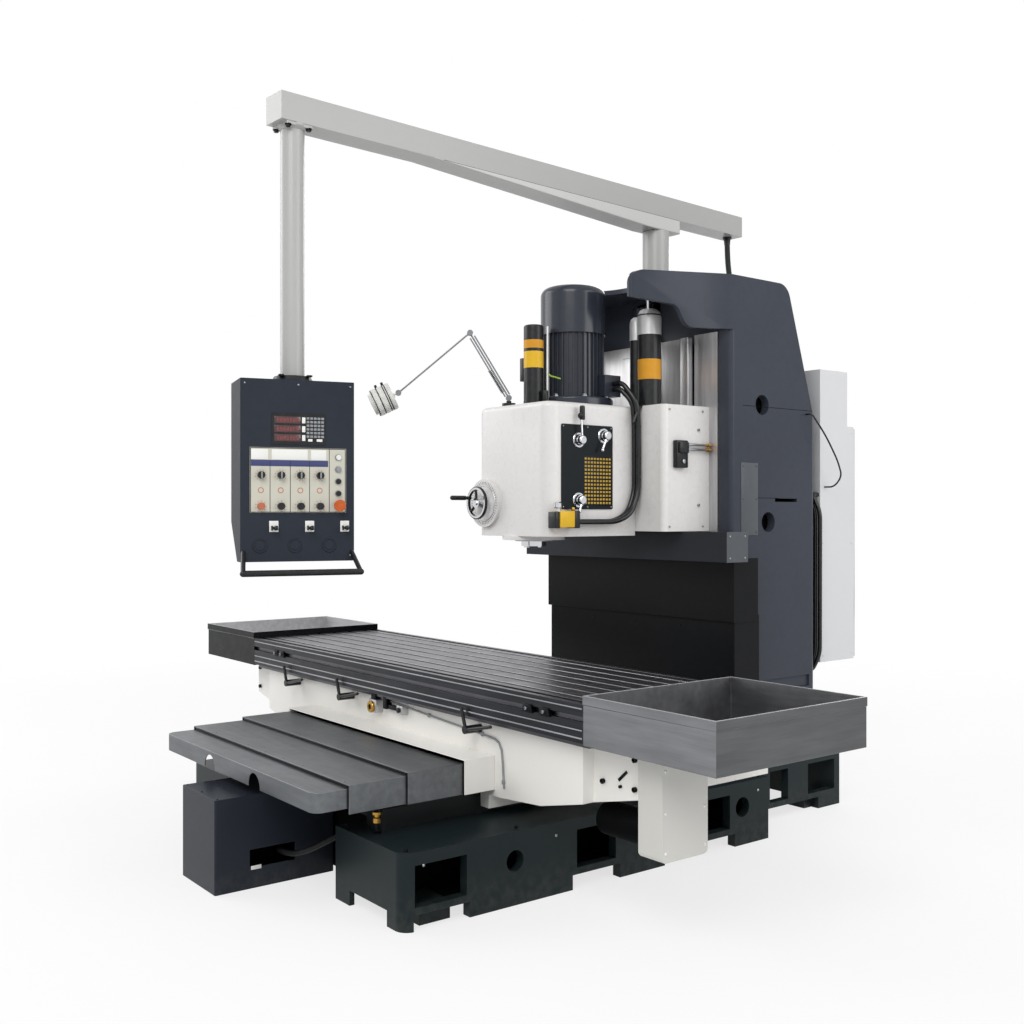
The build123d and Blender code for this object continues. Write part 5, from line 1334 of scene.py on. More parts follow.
@dataclass
class CoolantTank:
    """The tank between the rails, with its hose.

    Attributes:
        half: Half its width.
        slot: Middle of the slot in its side, as y and z.
        route: Centre line of the hose.
        hose_radius: Radius of the hose.
    """

    half: float = 173
    slot: tuple[float, float] = (-1552, 123)
    route: tuple[Point, ...] = ((120, -1500, 122), (215, -1498, 122), (295, -1450, 150), (355, -1375, 200),
                                (400, -1300, 240), (440, -1262, 250), (487, -1262, 250))
    hose_radius: float = 12

    def build(self) -> None:
        """Make the tank, its label, its lid screws and its hose."""
        shell("tank_shell", "coolant_tank", TANK_GREY, "base", "grey_enamel", 3)
        y, z = self.slot
        label = Piece("tank_label", LABEL_WHITE)
        label.box((self.half - 0.5, y - 98, z - 46), (self.half + 1.2, y - 52, z - 30), 0.6)
        label.done("base")
        Piece("coolant_hose_sheath", RUBBER).take_mesh(
            hose(self.route, self.hose_radius, 0.05, 9, RUBBER)).done("base", "black_rubber", ["coolant_hose"])
        clamp = Piece("coolant_hose_clamp", BOLT_STEEL)
        clamp.ring((self.hose_radius + 1, self.hose_radius + 3), (0, 12), (470, -1262, 250), (1, 0, 0), 24)
        clamp.box((470, -1256, 262), (482, -1250, 272), 1)
        clamp.done("base", "screw_steel")
        spots = [Screw((x, y, 386), UP, 9) for x in (-158, 0, 158) for y in (-1790, -1664)]
        screws("tank_lid_screws", "base", spots, Head.BUTTON, BLACK_OXIDE)


@dataclass
class Cover:
    """One sliding section of the front way cover.

    Attributes:
        node: The CAD node.
        body: Its body.
        half: Half its width.
        front: Its front edge.
        top: Its height.
    """

    node: str
    body: str
    half: float
    front: float
    top: float

    def build(self) -> None:
        """Make the sheet, its wiper and its screws."""
        shell(f"{self.node}_sheet", self.node, COVER_STEEL, self.body, "cover_steel", 2)
        wiper = Piece(f"{self.node}_wiper", RUBBER)
        wiper.box((20 - self.half, self.front + 2, self.top - 14.5),
                  (self.half - 20, self.front + 9, self.top - 3.5), 1)
        wiper.done(self.body, "black_rubber")
        step = (2 * self.half - 120) / 8
        spots = [Screw((60 - self.half + step * i, self.front + 16, self.top), UP, 7) for i in range(9)]
        screws(f"{self.node}_screws", self.body, spots, Head.BUTTON, COVER_STEEL)


@dataclass
class FrontCovers:
    """The telescopic cover in front of the saddle.

    Attributes:
        sections: Its two sliding sections.
    """

    sections: tuple[Cover, ...] = (Cover("front_cover_middle_1", "cover_1", 757, -1520, 518),
                                   Cover("front_cover_middle_2", "cover_2", 769, -1265, 533))

    def build(self) -> None:
        """Make the fixed section, the sliding ones and the saddle's nose."""
        shell("front_cover_fixed_sheet", "front_cover_fixed", COVER_STEEL, "base", "cover_steel", 3)
        for section in self.sections:
            section.build()
        shell("saddle_nose", "front_cover_rear", SADDLE_WHITE, "saddle", "white_enamel", 4)


@dataclass
class Saddle:
    """The saddle casting with its fittings and the table drive.

    Attributes:
        front: Its front face.
        top: Its height.
        wing_face: Front face of the stepped wing ends.
        pipe: The lubrication pipe on the front, as x and z.
    """

    front: float = -850
    top: float = 680
    wing_face: float = -795
    pipe: Outline = ((-120, 672), (160, 654), (296, 646), (700, 624), (785, 618), (815, 606), (833, 578), (841, 520),
                     (849, 425))

    def build(self) -> None:
        """Make the casting and everything on it."""
        casting = Piece.of_node("saddle_casting", "saddle", SADDLE_WHITE)
        # The ways on the saddle's top, under the table, are painted dark as shade.
        casting.repaint((-1600, -900, self.top + 0.5), (1600, 0, self.top + 20), SHADED_WAYS)
        casting.done("saddle", "white_enamel", ["saddle"], edge=6)
        # The drive housing takes a darker copy of the saddle white as painted shade.
        shell("x_drive_cover", "x_drive_housing", DRIVE_WHITE_SHADED, "saddle", "white_enamel", 8)
        # The x feed motor is painted near-black as shade, for the shadow under the saddle's wing.
        coat(SHADE_AND_SEAM_BLACK, "x_feed_motor")
        coat(MOTOR_BLUE, "y_feed_motor", "z_feed_motor")
        coat(screw_steel("x", (0, -0.695, 0.63), "YZX"), "x_ball_screw")
        coat(screw_steel("y", (0, 0, 0.325), "XZY"), "y_ball_screw")
        coat(PLASTIC, "clamp_lever_1", "clamp_lever_2", "clamp_lever_3")
        self.fittings()
        self.fixings()

    def fittings(self) -> None:
        """Make the limit switch, its stop and the lubrication pipe."""
        switch = Piece("saddle_limit_switch", ALUMINIUM)
        switch.box((-170, self.front - 42, 602), (-104, self.front + 1, 664), 5)
        switch.using(BRASS).lathe([(13, 0), (13, 12), (25, 12), (28, 8), (28, 0), (13, 0)],
                                  (-140, self.front - 42, 630), FORWARD, 28)
        switch.using(BLACK_OXIDE).lathe([(0, 0), (12, 0), (12, 7), (0, 7)],
                                        (-140, self.front - 42, 630), FORWARD, 20)
        switch.box((-160, self.front - 36, 662), (-116, self.front - 4, 690), 4)
        switch.done("saddle", "lamp_metal")
        stop = Piece("saddle_stop", BLACK_OXIDE)
        stop.box((-60, self.front - 30, 630), (-28, self.front + 1, 690), 3)
        stop.box((-30, self.front - 24, 632), (70, self.front + 1, 652), 3)
        stop.using(ALUMINIUM).box((66, self.front - 34, 622), (118, self.front + 1, 664), 4)
        stop.using(PLASTIC).rod((92, self.front - 34, 643), (92, self.front - 44, 643), 12, 2)
        stop.done("saddle", "black_enamel")
        line = Piece("saddle_oil_pipe", GREY_PLASTIC)
        line.tube([(x, self.front - 5, z) for x, z in self.pipe], 4.5, 10)
        for x, z in ((296, 646), (700, 624), (846, 450)):
            line.box((x - 6, self.front - 11, z - 9), (x + 6, self.front + 1, z + 9), 2)
        line.done("saddle")
        scale = Piece("saddle_slot", BLACK_OXIDE).at(frame_at((1490, self.wing_face, 585), FORWARD, (0.75, 0, 0.66)))
        scale.box((-30, -6, -1), (30, 6, 3), 2).at()
        scale.rod((1480, self.wing_face, 545), (1480, self.wing_face - 10, 545), 6)
        scale.done("saddle")

    def fixings(self) -> None:
        """Make the screws of the saddle and the drive cover."""
        spots = [Screw((side * x, self.wing_face, z), FORWARD, 20) for side in (-1, 1)
                 for x, z in ((1385, 548), (1556, 655), (1556, 548))]
        screws("saddle_wing_screws", "saddle", spots, Head.SOCKET, BLACK_OXIDE)
        spots = [Screw((1707, y, z), (1, 0, 0), 12) for y in (-795, -595) for z in (350, 490, 640)]
        screws("x_drive_screws", "saddle", spots, Head.BUTTON, SADDLE_WHITE)


@dataclass
class Table:
    """The slotted table with a tray at each end.

    Attributes:
        half: Half its length.
        front: Its front face.
        back: Its back face.
        top: Its height.
        middle: Middle slot.
        pitch: From slot to slot.
        tray_end: Outer end of a tray.
        tray_floor: Height of a tray's floor.
    """

    half: float = 1399
    front: float = -909
    back: float = -107
    top: float = 846
    middle: float = -508
    pitch: float = 100
    tray_end: float = 2047
    tray_floor: float = 694

    def build(self) -> None:
        """Make the table, its trays and its trip dogs."""
        slab = Piece.of_node("table_slab", "table", TABLE_STEEL)
        for i in range(-3, 4):
            y = self.middle + i * self.pitch
            # The wide lower part of each slot is painted black as shade, and the upper walls lighter steel as a
            # painted highlight.
            slab.repaint((-self.half, y - 21, self.top - 45), (self.half, y + 21, self.top - 15), BLACK_OXIDE)
            slab.repaint((-self.half, y - 12, self.top - 15), (self.half, y + 12, self.top - 1), SLOT_HIGHLIGHT_AND_STRIPS)
        # The front dog groove is painted black as shade, and the rest of the front face darker steel as painted shade.
        slab.repaint((-self.half, self.front - 1, self.top - 70),
                     (self.half, self.front + 14, self.top - 44), BLACK_OXIDE)
        slab.repaint((-self.half, self.front - 1, self.top - 44), (self.half, self.front + 1, self.top), TABLE_SIDE_SHADED)
        slab.repaint((-self.half, self.front - 1, 690), (self.half, self.front + 1, self.top - 66), TABLE_SIDE_SHADED)
        slab.done("table", "ground_steel", ["table"], edge=1.5)
        self.trays()
        self.dogs()

    def trays(self) -> None:
        """Make the two trays."""
        inner = (self.front + 5, self.back - 5)
        right = Piece.of_node("right_tray_sheet", "right_tray", TRAY_STEEL)
        right.repaint((self.half, inner[0], self.tray_floor + 2), (self.tray_end, inner[1], self.tray_floor + 12),
                      TRAY_OIL)
        # The outer end face is painted darker as shade, and the rim's top faces lighter as painted light.
        right.repaint((self.tray_end - 2, self.front - 5, self.tray_floor - 5),
                      (self.tray_end + 6, self.back + 5, 874), TRAY_END_PAINTED_SHADE)
        right.repaint((self.half, self.front - 5, 877), (self.tray_end + 6, self.back + 5, 884), TRAY_PAINTED_LIGHT)
        right.done("table", "cover_steel", ["right_tray"], edge=2)
        # The left tray is painted dark steel as shade, and its inside lighter as painted light.
        left = Piece.of_node("left_tray_sheet", "left_tray", TRAY_PAINTED_SHADE)
        left.repaint((5 - self.tray_end, inner[0], self.tray_floor + 2), (-self.half - 5, inner[1], 882), TRAY_PAINTED_LIGHT)
        left.done("table", "cover_steel", ["left_tray"], edge=2)

    def dogs(self) -> None:
        """Make the trip dogs in the front groove and the graduated strips."""
        dogs = Piece("trip_dogs", BLACK_OXIDE)
        for x in (-1120, -1050, 1075, 1180):
            dogs.prism([(x - 34, 774), (x + 34, 774), (x + 24, 806), (x - 24, 806)], self.front - 8, self.front + 9,
                       Axis.Y, 2)
        dogs.done("table", "black_enamel")
        strips = Piece("table_front_strips", SLOT_HIGHLIGHT_AND_STRIPS)
        for low, high in ((716, 722), (746, 751), (826, 831)):
            strips.box((-self.half + 6, self.front - 1.6, low), (self.half - 6, self.front + 1, high), 0.6)
        strips.done("table", "ground_steel")
        spots = [Screw((x, self.front - 7.5, 790), FORWARD, 14) for x in (-1120, -1050, 1075, 1180)]
        screws("trip_dog_screws", "table", spots, Head.SOCKET, BOLT_STEEL)


@dataclass
class Column:
    """The column casting with its ways and hood.

    Attributes:
        half: Half its width.
        front: Its front face.
        way: Inner and outer face of a way.
        way_front: Front face of the ways.
        way_span: Foot and top of the ways.
        holes: Middles of the side holes, as y and z.
    """

    half: float = 659
    front: float = 800
    way: tuple[float, float] = (400, 560)
    way_front: float = 740
    way_span: tuple[float, float] = (900, 2480)
    holes: Outline = ((970, 2109), (1018, 1501))

    def build(self) -> None:
        """Make the casting, its ways and its side fittings."""
        casting = Piece.of_node("column_casting", "column", CHARCOAL)
        for side in (-1, 1):
            x = sides(self.way[0] - 2, self.way[1] + 2, side)
            casting.repaint((x[0], self.way_front - 2, self.way_span[0]), (x[1], self.front - 2, self.way_span[1]),
                            WAY_STEEL)
        casting.done("base", "dark_casting", ["column"], edge=7)
        coat(CHROME, "balance_rod")
        coat(screw_steel("z", (0, 0.766, 0), "XYZ"), "z_ball_screw")
        self.side_fittings()

    def side_fittings(self) -> None:
        """Make the side plates, seams, hole bottoms painted black as shade, and plugs."""
        plates = Piece("column_side_plates", SIDE_PLATE)
        seams = Piece("column_seams", SHADE_AND_SEAM_BLACK)
        rims = Piece("column_hole_rims", CHARCOAL)
        for side in (-1, 1):
            x = sides(self.half - 1, self.half + 3, side)
            plates.box((x[0], 806, 1434), (x[1], 936, 1807), 2)
            face = sides(self.half - 1, self.half + 0.5, side)
            for y, z, end in ((822, 2098, 1384), (830, 1625, 1100)):
                seams.box((face[0], y, z), (face[1], end, z + 2.5), 0.2)
            for y, z in self.holes:
                # A black disc inside each hole, painted as shade for its dark depth.
                seams.rod((side * (self.half - 60), y, z), (side * (self.half - 56), y, z), 75, 0.5)
                rims.lathe([(52, -2), (52, 1.5), (57, 1.5), (59, 0), (59, -2), (52, -2)], (side * self.half, y, z),
                           (side, 0, 0), 40)
        plates.done("base", "dark_casting")
        seams.done("base")
        rims.done("base", "dark_casting")
        spots = [Screw((side * (self.half + 3), y, z), (side, 0, 0), 12) for side in (-1, 1)
                 for y in (820, 922) for z in (1450, 1620, 1790)]
        screws("column_plate_screws", "base", spots, Head.BUTTON, SIDE_PLATE)
        spots = [Screw((x, y, 2759), UP, 26) for x in (-560, 560) for y in (860, 1120)]
        screws("column_top_plugs", "base", spots, Head.HEX, BLACK_OXIDE)


@dataclass
class Guards:
    """The guards that cover the column's ways below the head.

    Attributes:
        apron_half: Half the apron's width.
        apron_span: The apron's foot and top.
    """

    apron_half: float = 788
    apron_span: tuple[float, float] = (1304, 1455)

    def build(self) -> None:
        """Make the three guards and their screws."""
        # The guards' black paint is darkened further as painted shade.
        shell("column_guard_sheet", "column_guard", GUARD_PAINT_WITH_SHADE, "base", "dark_sheet", 2)
        shell("middle_guard_sheet", "middle_guard", GUARD_PAINT_WITH_SHADE, "middle_guard", "dark_sheet", 2)
        low, high = self.apron_span
        apron = Piece.of_node("apron_sheet", "apron", APRON_SLATE)
        for side in (-1, 1):
            x = sides(self.apron_half - 2, self.apron_half + 2, side)
            apron.repaint((x[0], 540, low - 5), (x[1], 720, high + 5), SIDE_PLATE)
        apron.done("head", "dark_sheet", ["apron"], edge=2.5)
        spots = [Screw((side * self.apron_half, y, z), (side, 0, 0), 11) for side in (-1, 1)
                 for y in (580, 690) for z in (low + 22, high - 22)]
        screws("apron_screws", "head", spots, Head.BUTTON, BOLT_STEEL)
        spots = [Screw((x, 691, z), FORWARD, 11) for x in (-690, -345, 0, 345, 690) for z in (330, 960)]
        screws("column_guard_screws", "base", spots, Head.BUTTON, BLACK_OXIDE)


@dataclass
class MillingHead:
    """The milling head on its carriage.

    Attributes:
        carriage_half: Half the carriage's width.
        top: Height of the head.
        dial: Front face of the handwheel's boss.
    """

    carriage_half: float = 502
    top: float = 2096
    dial: float = -189

    def build(self) -> None:
        """Make the castings, the spindle and the fittings."""
        shell("carriage_casting", "head_carriage", HEAD_WHITE, "head", "white_enamel", 5)
        shell("head_casting", "head_box", HEAD_WHITE, "head", "white_enamel", 4)
        coat(WAY_STEEL, "quill")
        coat(CHROME, "spindle")
        self.way_sheet()
        self.limit_switch()
        self.handwheel()

    def way_sheet(self) -> None:
        """Make the folded sheet that covers the ways above the carriage."""
        sheet = Piece("way_sheet", SHEET_STEEL)
        low, high = self.top - 1, 2470
        sheet.box((-390, 733, low), (390, 737, high), 1)
        sheet.box((333, 700, low), (392, 737, high), 6, 3)
        sheet.box((-392, 700, low), (-333, 737, high), 6, 3)
        sheet.box((-120, 712, low), (150, 737, high - 60), 5, 3)
        sheet.done("head", "cover_steel")

    def limit_switch(self) -> None:
        """Make the end switch on the carriage's side, with its two rods."""
        x = self.carriage_half
        switch = Piece("head_limit_switch", PLASTIC)
        switch.box((x - 1, 476, 1776), (x + 30, 556, 1915), 5)
        switch.box((x + 26, 484, 1850), (x + 44, 548, 1906), 4)
        switch.using(BOLT_STEEL)
        for z in (1896, 1872):
            switch.rod((x + 18, 552, z), (x + 18, 700, z), 6, 1.5)
        switch.rod((x + 30, 520, 1808), (x + 38, 520, 1808), 11, 2)
        switch.using(BRASS)
        for z in (1896, 1872):
            switch.rod((x + 18, 698, z), (x + 18, 733, z), 9, 2)
        switch.done("head", "black_plastic")
        spots = [Screw((side * x, 658, z), (side, 0, 0), 14) for side in (-1, 1) for z in (1589, 1974)]
        spots += [Screw((side * x, y, z), (side, 0, 0), 10) for side in (-1, 1)
                  for y in (690, 450) for z in (1480, 2070)]
        screws("carriage_screws", "head", spots, Head.SOCKET, BOLT_STEEL)

    def handwheel(self) -> None:
        """Make the quill's handwheel and the marks round it."""
        wheel = Piece.of_node("quill_handwheel", "handwheel", PLASTIC)
        wheel.repaint((-226, -262, 1574), (-174, -100, 1626), CHROME)
        wheel.done("handwheel", "polished_steel", ["handwheel"], edge=0.8)
        mark = Piece("dial_mark", BLACK_OXIDE)
        mark.box((-7, -0.9, -0.5), (7, 0.9, 0.8), 0.2)
        marks = Piece("handwheel_marks", BLACK_OXIDE).at(frame_at((-200, self.dial, 1600), FORWARD))
        marks.take_mesh(repeated(Layout.RING, mark, Count=48, Radius=0.104))
        marks.done("head", "black_enamel")
        ring = Piece("handwheel_ring", ALUMINIUM)
        ring.lathe([(88, -1), (88, 2), (94, 2), (96, 0), (96, -1), (88, -1)], (-200, self.dial, 1600), FORWARD, 56)
        ring.done("head", "polished_steel")


@dataclass
class SpindleDrive:
    """The spindle motor, the drawbar and the balance cylinder on the head.

    Attributes:
        motor: Middle of the motor, as x and y.
        drawbar: Middle of the drawbar cylinder.
        balance: Middle of the balance cylinder.
        top: Height of the head.
    """

    motor: tuple[float, float] = (0, 245)
    drawbar: tuple[float, float] = (0, -20)
    balance: tuple[float, float] = (309, 500)
    top: float = 2096

    def band(self, piece: Piece, place: tuple[float, float], radius: float, low: float, high: float) -> None:
        """Wrap a thin label round an upright cylinder.

        Args:
            piece: The piece that gets it.
            place: Middle of the cylinder.
            radius: Its radius.
            low: Foot of the label.
            high: Top of the label.
        """
        piece.ring((radius - 1, radius + 0.4), (low, high), (*place, 0), UP, 48)

    def build(self) -> None:
        """Make all three and their fittings."""
        shell("motor_body", "spindle_motor", MOTOR_BLUE, "head", "motor_paint", 1.2)
        x, y = self.motor
        spots = [Screw((x + 192 * math.cos(a), y + 192 * math.sin(a), self.top + 50), UP, 24)
                 for a in (math.pi * (i + 0.5) / 4 for i in range(8))]
        screws("motor_flange_bolts", "head", spots, Head.HEX, BOLT_STEEL)
        grille = Piece("motor_grille", BLACK_OXIDE)
        grille.at(frame_at((x, y, 2726), UP))
        for radius, count in ((0.045, 12), (0.1, 24)):
            part = Piece("grille_bar", BLACK_OXIDE)
            part.box((-22, -2.2, -1), (22, 2.2, 1.5), 0.5)
            grille.take_mesh(repeated(Layout.RING, part, Count=count, Radius=radius))
        grille.done("head", "motor_paint")
        self.cylinders()

    def cylinders(self) -> None:
        """Make the drawbar's and the balance cylinder's bodies and labels."""
        bar = Piece.of_node("drawbar_body", "drawbar_cylinder", PLASTIC)
        bar.done("head", "black_enamel", ["drawbar_cylinder"], edge=2)
        label = Piece("drawbar_labels", ORANGE)
        self.band(label, self.drawbar, 51, 2388, 2430)
        self.band(label.using(YELLOW), self.drawbar, 51, 2288, 2372)
        label.done("head", "yellow_paint")
        x, y = self.drawbar
        side = Piece("drawbar_pipes", WHITE_PLASTIC)
        side.rod((x + 60, y + 42, self.top), (x + 60, y + 42, 2500), 5, 2, 16)
        side.using(PLASTIC).box((x - 78, y - 30, 2225), (x - 48, y + 4, 2345), 4)
        side.rod((x + 74, y + 16, self.top), (x + 74, y + 16, 2170), 15, 3, 20)
        wire = ((x + 60, y + 42, 2262), (x + 72, y + 48, 2246), (x + 92, y + 66, 2240), (x + 104, y + 92, 2232))
        side.using(GREEN_PLASTIC).tube(spline_points(wire), 4, 10)
        side.done("head", "black_plastic")
        x, y = self.balance
        shell("balance_body", "balance_cylinder", PLASTIC, "head", "black_enamel", 1)
        cap = Piece("balance_caps", DOME_STEEL)
        dome = [(20.5, 2604), (36, 2602), (50, 2594), (59, 2578), (62.4, 2556), (62.4, 2468), (60, 2468), (60, 2560),
                (20.5, 2600), (20.5, 2604)]
        cap.lathe(dome, (x, y, 0), UP, 56)
        cap.lathe([(0, 2572), (18, 2569), (30, 2558), (36, 2538), (36, 2448), (0, 2448)], (225, 489, 0), UP, 40)
        cap.using(PLASTIC).lathe([(0, 2450), (34, 2450), (34, self.top), (0, self.top)], (225, 489, 0), UP, 40)
        self.band(cap.using(ORANGE), self.balance, 61, 2237, 2341)
        cap.done("head", "polished_steel")


@dataclass
class GearPanel:
    """The gear plate with its levers, the valve and the conduits on the head's side.

    Attributes:
        face: The plate's face.
        chart: Middle of the chart, as y and z.
        valve: Lowest and highest corner of the valve.
    """

    face: float = 300
    chart: tuple[float, float] = (150, 1708)
    valve: tuple[Point, Point] = ((294, -167, 1474), (360, -17, 1560))

    def build(self) -> None:
        """Make the plate, the chart, the levers, the valve and the conduits."""
        plate = Piece.of_node("gear_plate_sheet", "gear_plate", CHART_DARK)
        plate.done("head", "dark_sheet", ["gear_plate"], edge=1)
        y, z = self.chart
        sheet = Piece("gear_chart", CHART_GROUND).at(frame_at((self.face, y, z), (1, 0, 0), (0, 1, 0)))
        sheet.box((-92, -126, -0.5), (92, 122, 0.5), 0.3)
        dot = Piece("chart_dot", CHART)
        dot.box((-6.5, -5, -0.4), (6.5, 5, 1.2), 0.2)
        sheet.using(CHART).take_mesh(repeated(Layout.GRID, dot, Columns=9, Rows=13, Width=0.16, Height=0.22))
        sheet.done("head", "yellow_paint")
        for number, knob in ((1, ((0, -20, 2000), (400, 60, 2060))), (2, None), (3, None)):
            lever = Piece.of_node(f"gear_lever_{number}_arm", f"gear_lever_{number}", CHROME)
            if knob:
                lever.repaint(*knob, PLASTIC)
                lever.using(PLASTIC).lathe([(0, 2006), (12, 2006), (13.5, 2012), (13.5, 2068), (10, 2076), (0, 2077)],
                                           (326, 25, 0), UP, 28)
            lever.done(f"gear_lever_{number}", "polished_steel", [f"gear_lever_{number}"], edge=0.8)
        self.rings()
        self.solenoid()
        coat(CONDUIT, "head_conduits")
        branch = Piece("balance_hose", CONDUIT)
        route = ((318, 448, 2103), (338, 425, 2101), (345, 395, 2085), (345, 372, 2050), (340, 358, 2010))
        branch.tube(spline_points(route), 8, 14)
        branch.done("head", "black_rubber")

    def rings(self) -> None:
        """Make the chrome rings under the levers and the plate's screws."""
        rings = Piece("gear_lever_seats", CHROME)
        for y, z in ((25, 1908), (191, 1935), (25, 1612)):
            rings.lathe([(28, -1), (28, 3), (36, 3), (38, 1), (38, -1), (28, -1)], (self.face, y, z), (1, 0, 0), 40)
        rings.done("head", "polished_steel")
        spots = [Screw((self.face, y, z), (1, 0, 0), 9) for y in (-74, 84, 241) for z in (1578, 1974)]
        screws("gear_plate_screws", "head", spots, Head.BUTTON, BOLT_STEEL)

    def solenoid(self) -> None:
        """Make the yellow valve with its black ends."""
        (x0, y0, z0), (x1, y1, z1) = self.valve
        valve = Piece("solenoid_valve", YELLOW)
        valve.box((x0, y0 + 26, z0 + 4), (x1 - 2, y1 - 30, z1 - 2), 4)
        valve.using(PLASTIC).box((x0, y0, z0), (x1 - 8, y0 + 30, z1 - 6), 4).box((x0, y1 - 34, z0), (x1, y1, z1), 4)
        valve.using(CHROME).lathe([(0, 0), (17, 0), (17, 10), (13, 14), (20, 20), (20, 40), (14, 46), (0, 46)],
                                  (x0 + 32, y0 + 34, z1 - 4), UP, 28)
        valve.using(BRASS).rod((x0 + 32, y1 - 18, z1 - 4), (x0 + 32, y1 - 18, z1 + 16), 9, 2, 20)
        valve.done("head", "yellow_paint", ["valve_block"])


@dataclass
class WorkLamp:
    """The jointed lamp on the head.

    Attributes:
        shoulder: Lower joint.
        elbow: Middle joint.
        wrist: Joint of the lamp head.
        along: Which way the lamp leans, on plan.
        head_axis: Which way the lamp head points.
        drum: Radius of the lamp head.
    """

    shoulder: Point = (-103, -101, 2140)
    elbow: Point = (-208.3, -271.6, 2471)
    wrist: Point = (-400.14, -582.11, 2159.29)
    along: Point = (-0.5255, -0.8508, 0)
    head_axis: Point = (-0.4764, -0.7712, -0.4222)
    drum: float = 69

    def build(self) -> None:
        """Dress the joints and arms, and make the bars, springs and the drum."""
        coat(PLASTIC, "lamp_swivel")
        coat(LAMP_ARM, "lamp_lower_arm", "lamp_forearm")
        coat(LAMP_WHITE, "lamp_head")
        line = (Vector(self.elbow) - Vector(self.shoulder)).normalized()
        side = (Vector(self.along) - line * line.dot(Vector(self.along))).normalized()
        bars = Piece("lamp_side_bars", LAMP_ARM)
        for offset in (-13, 13):
            start = Vector(self.shoulder) + line * 14 + side * offset
            bars.rod(start, start + line * 350, 4, 1, 16)
        base = Vector(self.shoulder) + side * 13
        turns = [base + line * (40 + i * 1.1) + (side * math.cos(i * 0.9) + line.cross(side) * math.sin(i * 0.9)) * 8
                 for i in range(120)]
        bars.using(BLACK_OXIDE).tube(turns, 1.6, 6)
        bars.done("lamp_lower_arm", "lamp_metal")
        self.head()

    def head(self) -> None:
        """Make the ribs, the lens and the grip of the lamp head."""
        ribs = Piece("lamp_head_ribs", LAMP_WHITE)
        r = self.drum
        back = [(20, 24), (44, 26), (60, 30), (r + 2, 36), (r + 2, 48), (r - 1, 48), (r - 1, 30), (20, 29), (20, 24)]
        ribs.lathe(back, self.wrist, self.head_axis, 56)
        for start in (74, 104):
            ribs.ring((r - 1, r + 2.5), (start, start + 18), self.wrist, self.head_axis, 56)
        ribs.using(PLASTIC)
        for start in (52, 62, 95, 126):
            ribs.ring((r - 1, r + 1), (start, start + 5), self.wrist, self.head_axis, 56)
        ribs.using(LENS).lathe([(0, 142), (30, 141), (51.5, 138), (51.5, 134), (0, 134)],
                               self.wrist, self.head_axis, 48)
        axis = Vector(self.head_axis)
        up = (Vector(UP) - axis * axis.z).normalized()
        for distance in (58, 92):
            foot = Vector(self.wrist) + axis * distance + up * r
            ribs.using(PLASTIC).rod(foot, foot + up * 16, 7, 2, 16)
        ribs.done("lamp_head", "lamp_metal")


@dataclass
class PendantArm:
    """The swinging arm that carries the pendant.

    Attributes:
        pivot: Its pivot on plan.
        pole: Middle of the pole on plan.
        bottom: Underside of the beam.
        half: Half the beam's width.
    """

    pivot: tuple[float, float] = (-43, 898)
    pole: tuple[float, float] = (103.3, -1427.4)
    bottom: float = 3205
    half: float = 65

    def build(self) -> None:
        """Make the post, the beam and their bolts."""
        shell("arm_post_body", "arm_post", ARM_GREY, "base", "grey_enamel", 3)
        shell("arm_beam_body", "arm_beam", ARM_GREY, "arm", "grey_enamel", 4)
        line = (Vector((*self.pole, 0)) - Vector((*self.pivot, 0))).normalized()
        side = Vector((-line.y, line.x, 0))
        # The gusset plates take a lighter copy of the arm grey as painted light, for their lit undersides.
        gusset = Piece("arm_gusset_plates", GUSSET_GREY_LIT).at(frame_at((*self.pivot, self.bottom), UP, tuple(side)))
        for hand in (-1, 1):
            gusset.using(GUSSET_GREY_LIT).prism([(126, -71), (-134, -71), (-1560, -2), (126, -2)],
                                         *sides(self.half - 1, self.half + 1.5, hand), Axis.X)
            seam = sides(self.half - 1, self.half + 0.7, hand)
            gusset.using(SIDE_PLATE).box((seam[0], -1560, -2.5), (seam[1], 128, 0.5), 0.1)
        gusset.done("arm", "grey_enamel")
        spots = []
        for reach in (-50, 50):
            for across in (-50, 50):
                place = Vector((*self.pole, self.bottom - 14)) + line * reach + side * across
                spots.append(Screw(tuple(place), (0, 0, -1), 22))
        screws("arm_pole_bolts", "arm", spots, Head.HEX, BLACK_OXIDE)
        collar = Piece("arm_pole_collar", ARM_GREY)
        collar.lathe([(51, 0), (66, 0), (66, 10), (54, 22), (51, 22), (51, 0)],
                     (*self.pole, self.bottom), (0, 0, -1), 48)
        collar.done("arm", "grey_enamel")
        ring = Piece("arm_post_ring", ARM_GREY)
        ring.lathe([(74, 0), (94, 0), (94, 12), (80, 22), (74, 24), (74, 0)], (*self.pivot, 2783), UP, 48)
        ring.done("base", "grey_enamel")


